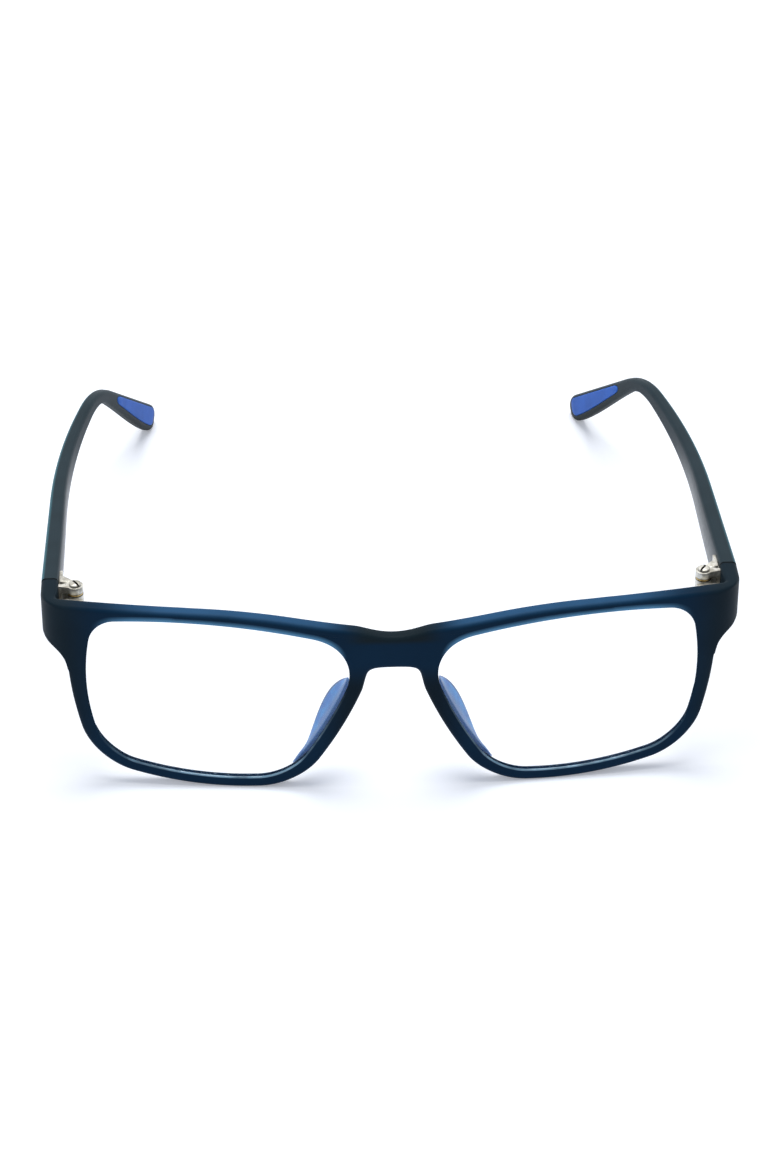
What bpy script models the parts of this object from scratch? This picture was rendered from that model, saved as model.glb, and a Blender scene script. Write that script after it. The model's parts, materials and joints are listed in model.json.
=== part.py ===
"""Plastic-framed glasses with clear lenses and folding temples.

Modelled in metres with +Z up: +X is the wearer's left, -Y faces forward and the
rims and temple tips stand on z = 0.
"""
import math

import bmesh
import bpy
from mathutils import Vector

MM = 0.001
DEG = math.pi / 180

# Front, seen square on
EYE_WIDTH = 52.0 * MM            # boxed lens opening
EYE_HEIGHT = 37.2 * MM
BRIDGE_GAP = 17.3 * MM           # between the two openings
RIM_TOP = 2.2 * MM               # rim widths round an opening
RIM_TOP_NASAL = 3.1 * MM         # top bar beside the bridge
TOP_BAR_TAPER = 0.6              # share of the eye width over which it thins
RIM_BOTTOM = 2.5 * MM
RIM_NASAL = 3.1 * MM
RIM_TEMPORAL = 2.7 * MM
FRONT_DEPTH = 3.0 * MM
FACE_WRAP = 410.0 * MM           # radius the front is wrapped to
EDGE_ROUND = 1.0 * MM            # outer edges at the front
BACK_ROUND = 0.8 * MM            # outer edges at the back
LIP_ROUND = 0.45 * MM            # edges of the lens openings at the front
BEVEL_WIDTH = 1.1 * MM           # openings widen towards the back
BEVEL_DEPTH = 1.2 * MM
FOOT_FLAT = 0.12 * MM            # depth taken off where the rims stand

# Corners of the opening, measured in from its box, before they are rounded
NASAL_FOOT_IN = 12.4 * MM
NASAL_FOOT_RISE = 0.8 * MM
TEMPORAL_FOOT_IN = 2.6 * MM
TEMPORAL_FOOT_RISE = 5.3 * MM
TEMPORAL_TOP_IN = 1.0 * MM
TEMPORAL_TOP_DROP = 0.9 * MM
NASAL_TOP_OUT = 2.4 * MM
NASAL_TOP_DROP = 6.4 * MM
BOTTOM_BULGE = 2.4 * MM          # how far each side bows out
TEMPORAL_BULGE = 2.6 * MM
TOP_BULGE = 2.85 * MM
NASAL_BULGE = 1.65 * MM
NASAL_FOOT_CUT = 6.0 * MM        # length of side each corner takes up
TEMPORAL_FOOT_CUT = 6.4 * MM
TEMPORAL_TOP_CUT = 6.4 * MM
NASAL_TOP_CUT = 10.0 * MM
CORNER_HANDLE = 0.6              # fullness of the corner curves

# Bridge
BRIDGE_HEIGHT = 7.35 * MM
BRIDGE_RISE = 2.95 * MM          # bridge top above the opening's nasal top corner
BRIDGE_SHOULDER = 7.0 * MM       # where the bridge runs into the top bar
SHOULDER_FULLNESS = 0.66         # share of the run held by the bar, then by the crest
CREST_FULLNESS = 0.3
ARCH_DROP = 5.0 * MM             # where the arch runs into the nose line
ARCH_FULLNESS = 0.72

# End pieces, which turn back to meet the temples
FLARE_DROP = 13.7 * MM           # below the opening's top, where the end piece leaves the rim
FLARE_RADIUS = 6.5 * MM
TOP_CORNER_RUN = 18.0 * MM       # where the top bar begins to rise to the outer corner
TOP_CORNER_RISE = 0.5 * MM
TURN_RADIUS = 6.4 * MM
RETURN_LENGTH = 3.9 * MM         # straight run from the turn to the temple joint
END_DEPTH = 3.4 * MM             # thickness at the temple joint

# Lenses in their grooves
GROOVE_AT = 1.1 * MM             # middle of the groove behind the face
GROOVE_DEPTH = 0.9 * MM
GROOVE_WIDTH = 1.3 * MM
LENS_EDGE = 1.1 * MM
LENS_CLEARANCE = 0.25 * MM
LENS_BULGE = 0.7 * MM

# Nose pads, stuck on the back of the nasal rims
PAD_DEPTH = 4.8 * MM
PAD_SPLAY = 1.9 * MM
PAD_THICKNESS = 1.9 * MM
PAD_TOP = 13.0 * MM              # below the opening's top
PAD_FOOT = 4.0 * MM              # above the opening's foot
PAD_GLUE = 0.1 * MM

# Temples
TEMPLE_LENGTH = 146.0 * MM
TEMPLE_DEPTH = 9.4 * MM          # height of the temple at its joint
NECK_AT = 92.0 * MM
NECK_DEPTH = 2.9 * MM
PADDLE_AT = 142.0 * MM
PADDLE_DEPTH = 6.2 * MM
SHAFT_THICKNESS = 2.6 * MM
TEMPLE_ROUND = 0.9 * MM
ROUND_SHARE = 0.42               # most of a thin section its rounding may take
DROP_AT = 82.0 * MM              # where the temple bends down behind the ear
DROP_RADIUS = 38.0 * MM
DROP_TURN = 29.0 * DEG
SHAFT_TOE_IN = 0.6 * DEG
CURL_AT = 36.0 * MM              # where it curves in round the head
CURL_RADIUS = 240.0 * MM
CURL_TURN = 13.3 * DEG
TIP_ROUND = 4.5 * MM
TIP_THIN = 0.45                  # share of the thickness left at the very end
TIP_BLUNT = 0.02                 # keeps the very end open for its cap
TIP_FLAT = 0.15 * MM             # depth taken off where the tips stand
JOINT_GAP = 0.15 * MM

# Rubber grips let into the inside of the temple tips
GRIP_LENGTH = 30.0 * MM
GRIP_END = 3.2 * MM              # from the temple's end
GRIP_BORDER = 0.7 * MM
GRIP_SUNK = 0.9 * MM
GRIP_PROUD = 0.3 * MM
GRIP_CLEARANCE = 0.12 * MM
GRIP_TAPER = 3.0 * MM

# Hinges
HINGE_OFFSET = 3.3 * MM          # pin to the inner faces of end piece and temple
HINGE_AHEAD = 0.9 * MM           # pin ahead of the joint line
HINGE_RAISE = 0.9 * MM           # above the middle of the end piece
KNUCKLE_RADIUS = 1.6 * MM
OUTER_KNUCKLE = 1.5 * MM         # heights along the pin
MIDDLE_KNUCKLE = 2.1 * MM
WASHER_THICKNESS = 0.3 * MM
KNUCKLE_GAP = 0.06 * MM
PIN_RADIUS = 0.7 * MM
PIN_CLEARANCE = 0.08 * MM
SCREW_HEAD_RADIUS = 1.3 * MM
SCREW_HEAD_HEIGHT = 0.65 * MM
SCREW_SLOT = 0.32 * MM
SCREW_TAIL = 0.3 * MM
LEAF_THICKNESS = 1.1 * MM
LEAF_SUNK = 0.5 * MM
LEAF_CLEARANCE = 0.1 * MM
TEMPLE_LEAF_LENGTH = 5.0 * MM
TEMPLE_LEAF_HEIGHT = 4.4 * MM
LEAF_SETBACK = 0.5 * MM          # leaf ends kept back from the joint line
FOOT_WIDTH = 3.0 * MM            # foot of the front leaf, behind the top bar
FOOT_GAP = 0.25 * MM             # between the foot and the turning knuckle
ARM_OVERLAP = 0.6 * MM           # arms run on into the foot they grow from
GUSSET_LENGTH = 2.6 * MM         # of the temple leaf's arm along its plate

# Facets
PIN_SIDES = 20
RIM_STEPS = 38                   # along a rim from the nose to the end piece
SIDE_STEPS = 60                  # points kept of an opening's outline
CORNER_STEPS = 24
TEMPLE_STEPS = 34
PATH_STEP = 0.5 * MM
SMOOTH_ANGLE = 35 * DEG
END_SHARE = 0.62                 # of the rim's turn at the end piece, met by the seam
BRIDGE_SHARE = 0.3               # of the rim's turn at the bridge, before and after the seam

# Points of a quarter round, as shares of its radius
ROUND_MID = 1 - math.cos(45 * DEG)
ROUND_NEAR = 1 - math.cos(30 * DEG)
ROUND_FAR = 1 - math.cos(60 * DEG)


def blend(a, b, t):
    return a + (b - a) * t


def along(first, last, steps, ends=False):
    """Even steps between two values, with or without the last one."""
    return [blend(first, last, i / steps) for i in range(steps + (1 if ends else 0))]


def bezier(p0, p1, p2, p3, t):
    s = 1 - t
    return p0 * s**3 + p1 * (3 * t * s * s) + p2 * (3 * t * t * s) + p3 * t**3


def right_normal(d):
    return Vector((d.y, -d.x)).normalized()


class Outline:
    """Closed outline of a lens opening as x, z points, with lengths along it."""

    def __init__(self):
        nasal = BRIDGE_GAP / 2
        temporal = nasal + EYE_WIDTH
        self.foot = RIM_BOTTOM
        self.top = self.foot + EYE_HEIGHT
        corners = [
            (Vector((nasal + NASAL_FOOT_IN, self.foot + NASAL_FOOT_RISE)), NASAL_FOOT_CUT),
            (Vector((temporal - TEMPORAL_FOOT_IN, self.foot + TEMPORAL_FOOT_RISE)), TEMPORAL_FOOT_CUT),
            (Vector((temporal - TEMPORAL_TOP_IN, self.top - TEMPORAL_TOP_DROP)), TEMPORAL_TOP_CUT),
            (Vector((nasal - NASAL_TOP_OUT, self.top - NASAL_TOP_DROP)), NASAL_TOP_CUT),
        ]
        self.nasal_top = corners[3][0]
        self.temporal = temporal
        bulges = (BOTTOM_BULGE, TEMPORAL_BULGE, TOP_BULGE, NASAL_BULGE)
        self.sides = [self.side(corners[i], corners[(i + 1) % 4], bulges[i]) for i in range(4)]
        self.points = []
        self.marks = []
        self.lengths = [0.0]
        for i, side in enumerate(self.sides):
            start = len(self.points)
            self.points += side
            self.points += self.corner(side, self.sides[(i + 1) % 4], corners[(i + 1) % 4][1])
            self.marks.append((start, start + len(side) - 1))
        for a, b in zip(self.points, self.points[1:] + self.points[:1]):
            self.lengths.append(self.lengths[-1] + (b - a).length)
        self.total = self.lengths[-1]
        half = CORNER_STEPS // 2
        self.marks = [(self.length_to(a - half), self.length_to(b + half)) for a, b in self.marks]

    def length_to(self, index):
        """Length up to a point of the outline, counted on past its start or end."""
        turns, i = divmod(index, len(self.points))
        return self.lengths[i] + turns * self.total

    @staticmethod
    def side(start, end, bulge):
        """A bowed side between two corners, less what the corners take up."""
        a, cut_a = start
        b, cut_b = end
        run = (b - a).length
        out = right_normal(b - a)
        first = cut_a / run
        last = 1 - cut_b / run
        params = along(first, last, SIDE_STEPS, True)
        return [a.lerp(b, t) + out * (bulge * 4 * t * (1 - t)) for t in params]

    @staticmethod
    def corner(side, following, cut):
        """A smooth corner between two sides, without its end points."""
        leave = (side[-1] - side[-2]).normalized() * (CORNER_HANDLE * cut)
        arrive = (following[1] - following[0]).normalized() * (CORNER_HANDLE * cut)
        curve = (side[-1], side[-1] + leave, following[0] - arrive, following[0])
        return [bezier(*curve, t) for t in along(0, 1, CORNER_STEPS)[1:]]

    def at(self, s):
        """Point at a length along the outline."""
        s %= self.total
        low, high = 0, len(self.points)
        while high - low > 1:
            mid = (low + high) // 2
            if self.lengths[mid] <= s:
                low = mid
            else:
                high = mid
        run = self.lengths[low + 1] - self.lengths[low]
        t = (s - self.lengths[low]) / run
        return self.points[low].lerp(self.points[(low + 1) % len(self.points)], t)

    def normal(self, s, step=0.4 * MM):
        """Direction away from the opening, into the rim."""
        return right_normal(self.at(s + step) - self.at(s - step))

    def rim_edge(self, s):
        """Outer edge of the rim beside a point of the opening."""
        n = self.normal(s)
        across = (self.at(s).x - BRIDGE_GAP / 2) / EYE_WIDTH
        top = blend(RIM_TOP_NASAL, RIM_TOP, min(max(across / TOP_BAR_TAPER, 0), 1))
        side = RIM_TEMPORAL if n.x > 0 else RIM_NASAL
        upright = top if n.y > 0 else RIM_BOTTOM + FOOT_FLAT
        return self.at(s) + n * (side * n.x**2 + upright * n.y**2)

    def find(self, mark, axis, value):
        """Length along a side at which the rim's outer edge reaches a value."""
        low, high = self.marks[mark]
        rising = self.rim_edge(high)[axis] > self.rim_edge(low)[axis]
        for _ in range(40):
            mid = (low + high) / 2
            if (self.rim_edge(mid)[axis] < value) == rising:
                low = mid
            else:
                high = mid
        return low


TEMPORAL_SIDE, TOP_SIDE, NASAL_SIDE = 1, 2, 3
EYE = Outline()
FLARE_AT = EYE.find(TEMPORAL_SIDE, 1, EYE.top - FLARE_DROP)
TOP_LEAVES_END = EYE.find(TOP_SIDE, 0, EYE.temporal - TOP_CORNER_RUN)
TOP_LEAVES_BRIDGE = EYE.find(TOP_SIDE, 0, BRIDGE_GAP / 2 + BRIDGE_SHOULDER)
BRIDGE_TOP = EYE.nasal_top.y + BRIDGE_RISE
ARCH_TOP = BRIDGE_TOP - BRIDGE_HEIGHT
NOSE_LEAVES_ARCH = EYE.find(NASAL_SIDE, 1, ARCH_TOP - ARCH_DROP)
FLARE_START = EYE.rim_edge(FLARE_AT)
END_TOP = EYE.rim_edge(TOP_LEAVES_END).y + TOP_CORNER_RISE
END_FOOT = FLARE_START.y + FLARE_RADIUS

# Plan of the front: a long arc, a tight turn at the end piece, then straight back
TURN_FROM = FLARE_START.x
TURN_START_ANGLE = TURN_FROM / FACE_WRAP
TURN_ANGLE = math.pi / 2 - TURN_START_ANGLE
TURN_TO = TURN_FROM + TURN_RADIUS * TURN_ANGLE
RETURN_TO = TURN_TO + RETURN_LENGTH


def place(u, z, w):
    """Point at length u round the front, height z and depth w behind its face."""
    if u <= TURN_FROM:
        a = u / FACE_WRAP
        r = FACE_WRAP - w
        return Vector((r * math.sin(a), FACE_WRAP - r * math.cos(a), z))
    centre_r = FACE_WRAP - TURN_RADIUS
    cx = centre_r * math.sin(TURN_START_ANGLE)
    cy = FACE_WRAP - centre_r * math.cos(TURN_START_ANGLE)
    turned = min(u - TURN_FROM, TURN_TO - TURN_FROM)
    a = TURN_START_ANGLE + turned / TURN_RADIUS
    r = TURN_RADIUS - w * blend(1, END_DEPTH / FRONT_DEPTH, turned / (TURN_TO - TURN_FROM))
    straight = max(0.0, u - TURN_TO)
    return Vector((cx + r * math.sin(a), cy - r * math.cos(a) + straight, z))


JOINT = place(RETURN_TO, END_TOP, 0)
PIN_X = JOINT.x - END_DEPTH - HINGE_OFFSET
PIN_Y = JOINT.y - HINGE_AHEAD
HINGE_HEIGHT = 2 * (OUTER_KNUCKLE + WASHER_THICKNESS) + MIDDLE_KNUCKLE + 4 * KNUCKLE_GAP
HINGE_FOOT = (END_TOP + END_FOOT) / 2 + HINGE_RAISE - HINGE_HEIGHT / 2
HINGE_TOP = HINGE_FOOT + HINGE_HEIGHT


def closed_mesh(name, points, faces):
    """Mesh of one closed body, with doubles merged and faces pointing out."""
    bm = bmesh.new()
    verts = [bm.verts.new(p) for p in points]
    for face in faces:
        bm.faces.new([verts[i] for i in face])
    bmesh.ops.remove_doubles(bm, verts=bm.verts, dist=1e-7)
    loose = [v for v in bm.verts if not v.link_faces]
    bmesh.ops.delete(bm, geom=loose, context='VERTS')
    bmesh.ops.recalc_face_normals(bm, faces=bm.faces)
    mesh = bpy.data.meshes.new(name)
    bm.to_mesh(mesh)
    bm.free()
    return mesh


def loft(name, rings):
    """Closed body through rings of points, capped at both ends."""
    count = len(rings[0])
    points = [p for ring in rings for p in ring]
    faces = []
    for i in range(len(rings) - 1):
        for k in range(count):
            a = i * count + k
            b = i * count + (k + 1) % count
            faces.append((a, b, b + count, a + count))
    faces.append(tuple(range(count)))
    faces.append(tuple(range((len(rings) - 1) * count, len(rings) * count)))
    return closed_mesh(name, points, faces)


def prism(name, outline, foot, top):
    """Upright body on an x, y outline."""
    return loft(name, [[Vector((p[0], p[1], z)) for p in outline] for z in (foot, top)])


def combine(mesh, tool, operation):
    """Mesh after a Boolean with another one."""
    body = bpy.data.objects.new("body", mesh)
    cutter = bpy.data.objects.new("cutter", tool)
    for obj in (body, cutter):
        bpy.context.scene.collection.objects.link(obj)
    cutter.hide_render = True
    cutter.display_type = 'WIRE'
    step = body.modifiers.new("step", 'BOOLEAN')
    step.operation = operation
    step.solver = 'EXACT'
    step.object = cutter
    graph = bpy.context.evaluated_depsgraph_get()
    result = bpy.data.meshes.new_from_object(body.evaluated_get(graph))
    for obj in (body, cutter):
        bpy.data.objects.remove(obj)
    return result


def mirrored(mesh):
    """Copy of a mesh on the other side of the x = 0 plane."""
    bm = bmesh.new()
    bm.from_mesh(mesh)
    for v in bm.verts:
        v.co.x = -v.co.x
    bmesh.ops.reverse_faces(bm, faces=bm.faces)
    copy = bpy.data.meshes.new(mesh.name)
    bm.to_mesh(copy)
    bm.free()
    return copy


class Station:
    """One line across the front, from a lens opening to the outer edge."""

    def __init__(self, s, edge, inward, seam=False):
        self.eye = EYE.at(s)
        self.out = EYE.normal(s)
        self.edge = edge
        self.inward = inward
        self.seam = seam

    def section(self):
        """Points round the rim's section: the lens groove, back edge, then front edge."""
        wall = (self.edge - self.eye).length
        lip = min(LIP_ROUND, 0.25 * wall)
        bevel = min(BEVEL_WIDTH, 0.5 * wall)
        front = min(EDGE_ROUND, 0.5 * wall)
        back = min(BACK_ROUND, 0.4 * wall)
        inner = [(lip, 0), (ROUND_MID * lip, ROUND_MID * lip), (0, lip),
                 (0, GROOVE_AT - GROOVE_WIDTH / 2), (GROOVE_DEPTH, GROOVE_AT),
                 (0, GROOVE_AT + GROOVE_WIDTH / 2), (0, FRONT_DEPTH - BEVEL_DEPTH),
                 (ROUND_MID * bevel, FRONT_DEPTH - ROUND_MID * BEVEL_DEPTH), (bevel, FRONT_DEPTH)]
        if self.seam:
            outer = [(0, FRONT_DEPTH)] * 6 + [(0, 0)]
        else:
            outer = [(back, FRONT_DEPTH), (ROUND_MID * back, FRONT_DEPTH - ROUND_MID * back),
                     (0, FRONT_DEPTH - back), (0, front), (ROUND_NEAR * front, ROUND_FAR * front),
                     (ROUND_FAR * front, ROUND_NEAR * front), (front, 0)]
        points = [(self.eye + self.out * q, w) for q, w in inner]
        points += [(self.edge + self.inward * q, w) for q, w in outer]
        return points


INNER_COUNT = 9
SECTION_COUNT = 16


def rim_stations(first, last, steps):
    """Stations where the front's outer edge keeps the rim's width."""
    return [Station(s, EYE.rim_edge(s), -EYE.normal(s)) for s in along(first, last, steps)]


def curve_stations(first, last, curve, steps):
    """Stations whose outer edge follows a curve, from its start up to its end."""
    stations = []
    for i in range(steps):
        t = i / steps
        ahead = bezier(*curve, min(1.0, t + 0.01)) - bezier(*curve, max(0.0, t - 0.01))
        stations.append(Station(blend(first, last, t), bezier(*curve, t), -right_normal(ahead)))
    return stations


def seam_stations(first, last, start, end, steps):
    """Stations that stop at a line where the front carries on."""
    inside = [i / steps for i in range(1, steps)]
    return [Station(blend(first, last, t), start.lerp(end, t), Vector((0, 0)), True) for t in inside]


def front_stations():
    """Stations once round the left opening, and where its two seams start and end."""
    up = Vector((0, 1))
    total = EYE.total
    nose = NOSE_LEAVES_ARCH - total
    top_to_end = blend(FLARE_AT, TOP_LEAVES_END, END_SHARE)
    to_bridge = blend(TOP_LEAVES_BRIDGE, NOSE_LEAVES_ARCH, BRIDGE_SHARE)
    to_arch = blend(TOP_LEAVES_BRIDGE, NOSE_LEAVES_ARCH, 1 - BRIDGE_SHARE)

    stations = rim_stations(nose, FLARE_AT, RIM_STEPS)
    end_from = len(stations)
    end_low = FLARE_START
    end_high = Vector((TURN_FROM, END_TOP))
    stations.append(Station(FLARE_AT, end_low, -EYE.normal(FLARE_AT)))
    stations += seam_stations(FLARE_AT, top_to_end, end_low, end_high, 5)
    end_to = len(stations)
    top_end = EYE.rim_edge(TOP_LEAVES_END)
    third = (top_end - end_high) / 3
    lead = (EYE.rim_edge(TOP_LEAVES_END - MM) - top_end).normalized() * third.length
    corner = (end_high, end_high + third, top_end + lead, top_end)
    stations += curve_stations(top_to_end, TOP_LEAVES_END, corner, 5)
    stations[end_to].inward = -up

    stations += rim_stations(TOP_LEAVES_END, TOP_LEAVES_BRIDGE, 11)
    leave = EYE.rim_edge(TOP_LEAVES_BRIDGE)
    heading = (EYE.rim_edge(TOP_LEAVES_BRIDGE + MM) - leave).normalized()
    crest = Vector((0, BRIDGE_TOP))
    shoulder = (leave, leave + heading * (SHOULDER_FULLNESS * leave.x),
                crest + Vector((CREST_FULLNESS * leave.x, 0)), crest)
    stations += curve_stations(TOP_LEAVES_BRIDGE, to_bridge, shoulder, 6)
    bridge_from = len(stations)
    stations.append(Station(to_bridge, crest, -up))
    arch = Vector((0, ARCH_TOP))
    stations += seam_stations(to_bridge, to_arch, crest, arch, 4)
    bridge_to = len(stations)
    nose_edge = EYE.rim_edge(NOSE_LEAVES_ARCH)
    nose_rise = (EYE.rim_edge(NOSE_LEAVES_ARCH - MM) - nose_edge).normalized()
    span = nose_edge.x
    turn = (arch, arch + Vector((ARCH_FULLNESS * span, 0)),
            nose_edge + nose_rise * (ARCH_FULLNESS * ARCH_DROP), nose_edge)
    stations += curve_stations(to_arch, NOSE_LEAVES_ARCH, turn, 7)
    stations[bridge_to].inward = up
    return stations, (end_from, end_to), (bridge_from, bridge_to)


def end_piece_sections():
    """Lower and upper edge of the end piece at steps from the rim back to the joint."""
    sections = []
    flare_steps = 5
    centre = Vector((TURN_FROM + FLARE_RADIUS, FLARE_START.y))
    for i in range(1, flare_steps + 1):
        a = math.pi * (1 - 0.5 * i / flare_steps)
        n = Vector((math.cos(a), math.sin(a)))
        sections.append((centre + n * FLARE_RADIUS, n, TURN_FROM + FLARE_RADIUS * i / flare_steps))
    lower_from = centre.x
    for u in along(lower_from, TURN_TO, 4)[1:] + [TURN_TO, RETURN_TO]:
        sections.append((Vector((u, END_FOOT)), Vector((0, 1)), u))
    return sections


def front_frame():
    """The front: two grooved rims, the bridge and the end pieces, as one moulding."""
    stations, end_seam, bridge_seam = front_stations()
    points = []
    for station in stations:
        points += [place(p.x, max(p.y, FOOT_FLAT), w) for p, w in station.section()]
    faces = []
    count = len(stations)
    for i in range(count):
        j = (i + 1) % count
        on_seam = any(a <= i < b for a, b in (end_seam, bridge_seam))
        for k in range(SECTION_COUNT):
            if on_seam and INNER_COUNT <= k < SECTION_COUNT - 1:
                continue
            n = (k + 1) % SECTION_COUNT
            faces.append((i * SECTION_COUNT + k, j * SECTION_COUNT + k,
                          j * SECTION_COUNT + n, i * SECTION_COUNT + n))

    first, last = end_seam
    outer = list(range(INNER_COUNT, SECTION_COUNT))
    low_edge = [first * SECTION_COUNT + k for k in reversed(outer)]
    high_edge = [last * SECTION_COUNT + k for k in outer]
    between = range(first + 1, last)
    ring = low_edge + [i * SECTION_COUNT + INNER_COUNT for i in between]
    ring += high_edge + [i * SECTION_COUNT + SECTION_COUNT - 1 for i in reversed(between)]
    low_section = edge_offsets(stations[first], reversed(outer))
    high_section = edge_offsets(stations[last], outer)
    for low, low_normal, top_u in end_piece_sections():
        high = Vector((top_u, END_TOP))
        loop = [(low + low_normal * q, w) for q, w in low_section]
        loop += [(low.lerp(high, share(i, first, last)), FRONT_DEPTH) for i in between]
        loop += [(high - Vector((0, q)), w) for q, w in high_section]
        loop += [(low.lerp(high, share(i, first, last)), 0) for i in reversed(between)]
        fresh = list(range(len(points), len(points) + len(loop)))
        points += [place(p.x, p.y, w) for p, w in loop]
        for k in range(len(ring)):
            n = (k + 1) % len(ring)
            faces.append((ring[k], ring[n], fresh[n], fresh[k]))
        ring = fresh
    faces.append(tuple(ring))

    half = len(points)
    points += [Vector((-p.x, p.y, p.z)) for p in points]
    faces += [tuple(half + i for i in reversed(face)) for face in faces]
    for p in points:
        p.z -= FOOT_FLAT
    return closed_mesh("front_frame", points, faces)


def share(i, first, last):
    return (i - first) / (last - first)


def edge_offsets(station, indices):
    """Distance in from the edge, and depth, of the section points round an outer edge."""
    section = station.section()
    return [((section[k][0] - station.edge).length, section[k][1]) for k in indices]


def lens():
    """Curved lens with a bevelled edge that sits in the groove of the rim."""
    steps = 44
    spots = along(0, EYE.total, steps)
    centre = sum((EYE.at(s) for s in spots), Vector((0, 0))) / steps
    edge = [EYE.at(s) - EYE.normal(s) * (LENS_CLEARANCE * 0.6) for s in spots]
    bevel = [EYE.at(s) + EYE.normal(s) * (GROOVE_DEPTH - LENS_CLEARANCE) for s in spots]

    def ring(size, side):
        w = GROOVE_AT + side * LENS_EDGE / 2 - LENS_BULGE * (1 - size**2)
        return [place(p.x, p.y - FOOT_FLAT, w) for p in (centre.lerp(q, size) for q in edge)]

    sizes = (0.3, 0.62, 0.85, 1.0)
    rings = [ring(size, -1) for size in sizes]
    rings.append([place(p.x, p.y - FOOT_FLAT, GROOVE_AT) for p in bevel])
    rings += [ring(size, 1) for size in reversed(sizes)]
    return loft("lens", rings)


def nose_pad():
    """Soft pad behind the nasal rim, splayed to lie along the nose."""
    top = EYE.find(NASAL_SIDE, 1, EYE.top - PAD_TOP)
    foot = EYE.find(NASAL_SIDE, 1, EYE.foot + PAD_FOOT)
    steps = 12
    rings = []
    for i in range(steps + 1):
        t = i / steps
        s = blend(top, foot, t)
        out = EYE.normal(s)
        root = EYE.at(s) + out * (RIM_NASAL / 2)
        reach = PAD_DEPTH * (0.3 + 0.7 * math.sin(math.pi * (0.08 + 0.84 * t)))
        splay = PAD_SPLAY * reach / PAD_DEPTH
        half = PAD_THICKNESS / 2
        outline = [(-half, 0), (half, 0), (0.25 * splay + half, 0.45 * reach),
                   (0.9 * splay + 0.85 * half, 0.86 * reach), (splay + 0.4 * half, 0.97 * reach),
                   (splay - 0.3 * half, reach), (splay - 0.9 * half, 0.9 * reach),
                   (0.3 * splay - half, 0.45 * reach)]
        ring = []
        for across, back in outline:
            p = root - out * across
            ring.append(place(p.x, p.y - FOOT_FLAT, FRONT_DEPTH + PAD_GLUE + back))
        rings.append(ring)
    return loft("nose_pad", rings)


def temple_frames(spots, shaft_fall):
    """Outer top edge of the temple at lengths from its joint: point, inward and up."""
    p = Vector((JOINT.x, JOINT.y + JOINT_GAP, JOINT.z - FOOT_FLAT))
    frames = []
    s = 0.0
    for spot in spots:
        steps = max(1, math.ceil((spot - s) / PATH_STEP))
        step = (spot - s) / steps
        for _ in range(steps):
            heading = temple_heading(s + step / 2, shaft_fall)[0]
            p = p + heading * step
            s += step
        heading, inward = temple_heading(spot, shaft_fall)
        frames.append((p.copy(), inward, heading.cross(inward).normalized()))
    return frames


def temple_heading(s, shaft_fall):
    """Direction of the temple at a length from its joint, and the level way inward."""
    curl = SHAFT_TOE_IN + min(max(s - CURL_AT, 0) / CURL_RADIUS, CURL_TURN)
    fall = shaft_fall + min(max(s - DROP_AT, 0) / DROP_RADIUS, DROP_TURN)
    level = Vector((-math.sin(curl), math.cos(curl), 0))
    heading = level * math.cos(fall) - Vector((0, 0, math.sin(fall)))
    return heading, Vector((-level.y, level.x, 0))


def temple_depth(s):
    """Height of the temple's section: a long taper to the neck, then the wider tip."""
    if s < NECK_AT:
        return blend(TEMPLE_DEPTH, NECK_DEPTH, s / NECK_AT)
    t = min((s - NECK_AT) / (PADDLE_AT - NECK_AT), 1.0)
    return blend(NECK_DEPTH, PADDLE_DEPTH, t * t * (3 - 2 * t))


def temple_thickness(s):
    run = NECK_AT - TEMPLE_LEAF_LENGTH
    t = min(max(s - TEMPLE_LEAF_LENGTH - JOINT_GAP, 0) / run, 1.0)
    return blend(END_DEPTH, SHAFT_THICKNESS, t * t * (3 - 2 * t))


def tip_factor(s):
    """Rounds the end of the temple off in both directions."""
    t = max(s - (TEMPLE_LENGTH - TIP_ROUND), 0) / TIP_ROUND
    return math.sqrt(max(1 - t * t, TIP_BLUNT))


def temple_rings(shaft_fall):
    """Rounded sections of the temple along its falling, curling path."""
    spots = along(0, TEMPLE_LENGTH - TIP_ROUND, TEMPLE_STEPS)
    spots += [TEMPLE_LENGTH - TIP_ROUND * (1 - math.sin(a)) for a in along(0, math.pi / 2, 5, True)]
    rings = []
    for s, (p, inward, up) in zip(spots, temple_frames(spots, shaft_fall)):
        factor = tip_factor(s)
        deep = temple_depth(s) * factor
        thick = temple_thickness(s) * blend(TIP_THIN, 1, factor)
        centre = p + inward * (temple_thickness(s) / 2) - up * (temple_depth(s) / 2)
        r = min(TEMPLE_ROUND, ROUND_SHARE * deep, ROUND_SHARE * thick)
        ring = []
        for side, rise in ((-1, 1), (1, 1), (1, -1), (-1, -1)):
            bits = [(1, 0), (ROUND_MID, ROUND_MID), (0, 1)]
            if side * rise < 0:
                bits.reverse()
            for cut_in, cut_up in bits:
                a = side * (thick / 2 - r * cut_in)
                b = rise * (deep / 2 - r * cut_up)
                ring.append(centre + inward * a + up * b)
        rings.append(ring)
    return rings


def standing_fall():
    """Slope of the shaft that puts the tips on the table with the rims."""
    low, high = -5 * DEG, 15 * DEG
    for _ in range(24):
        fall = (low + high) / 2
        lowest = min(v.z for ring in temple_rings(fall) for v in ring)
        if lowest > -TIP_FLAT:
            low = fall
        else:
            high = fall
    return low


def temple_blank():
    """Temple before its pockets are cut, square at its joint and flat where it stands."""
    rings = temple_rings(SHAFT_FALL)
    for v in rings[0]:
        v.y = JOINT.y + JOINT_GAP
    for ring in rings:
        for v in ring:
            v.z = max(v.z, 0.0)
    return loft("temple", rings)


SHAFT_FALL = standing_fall()


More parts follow.
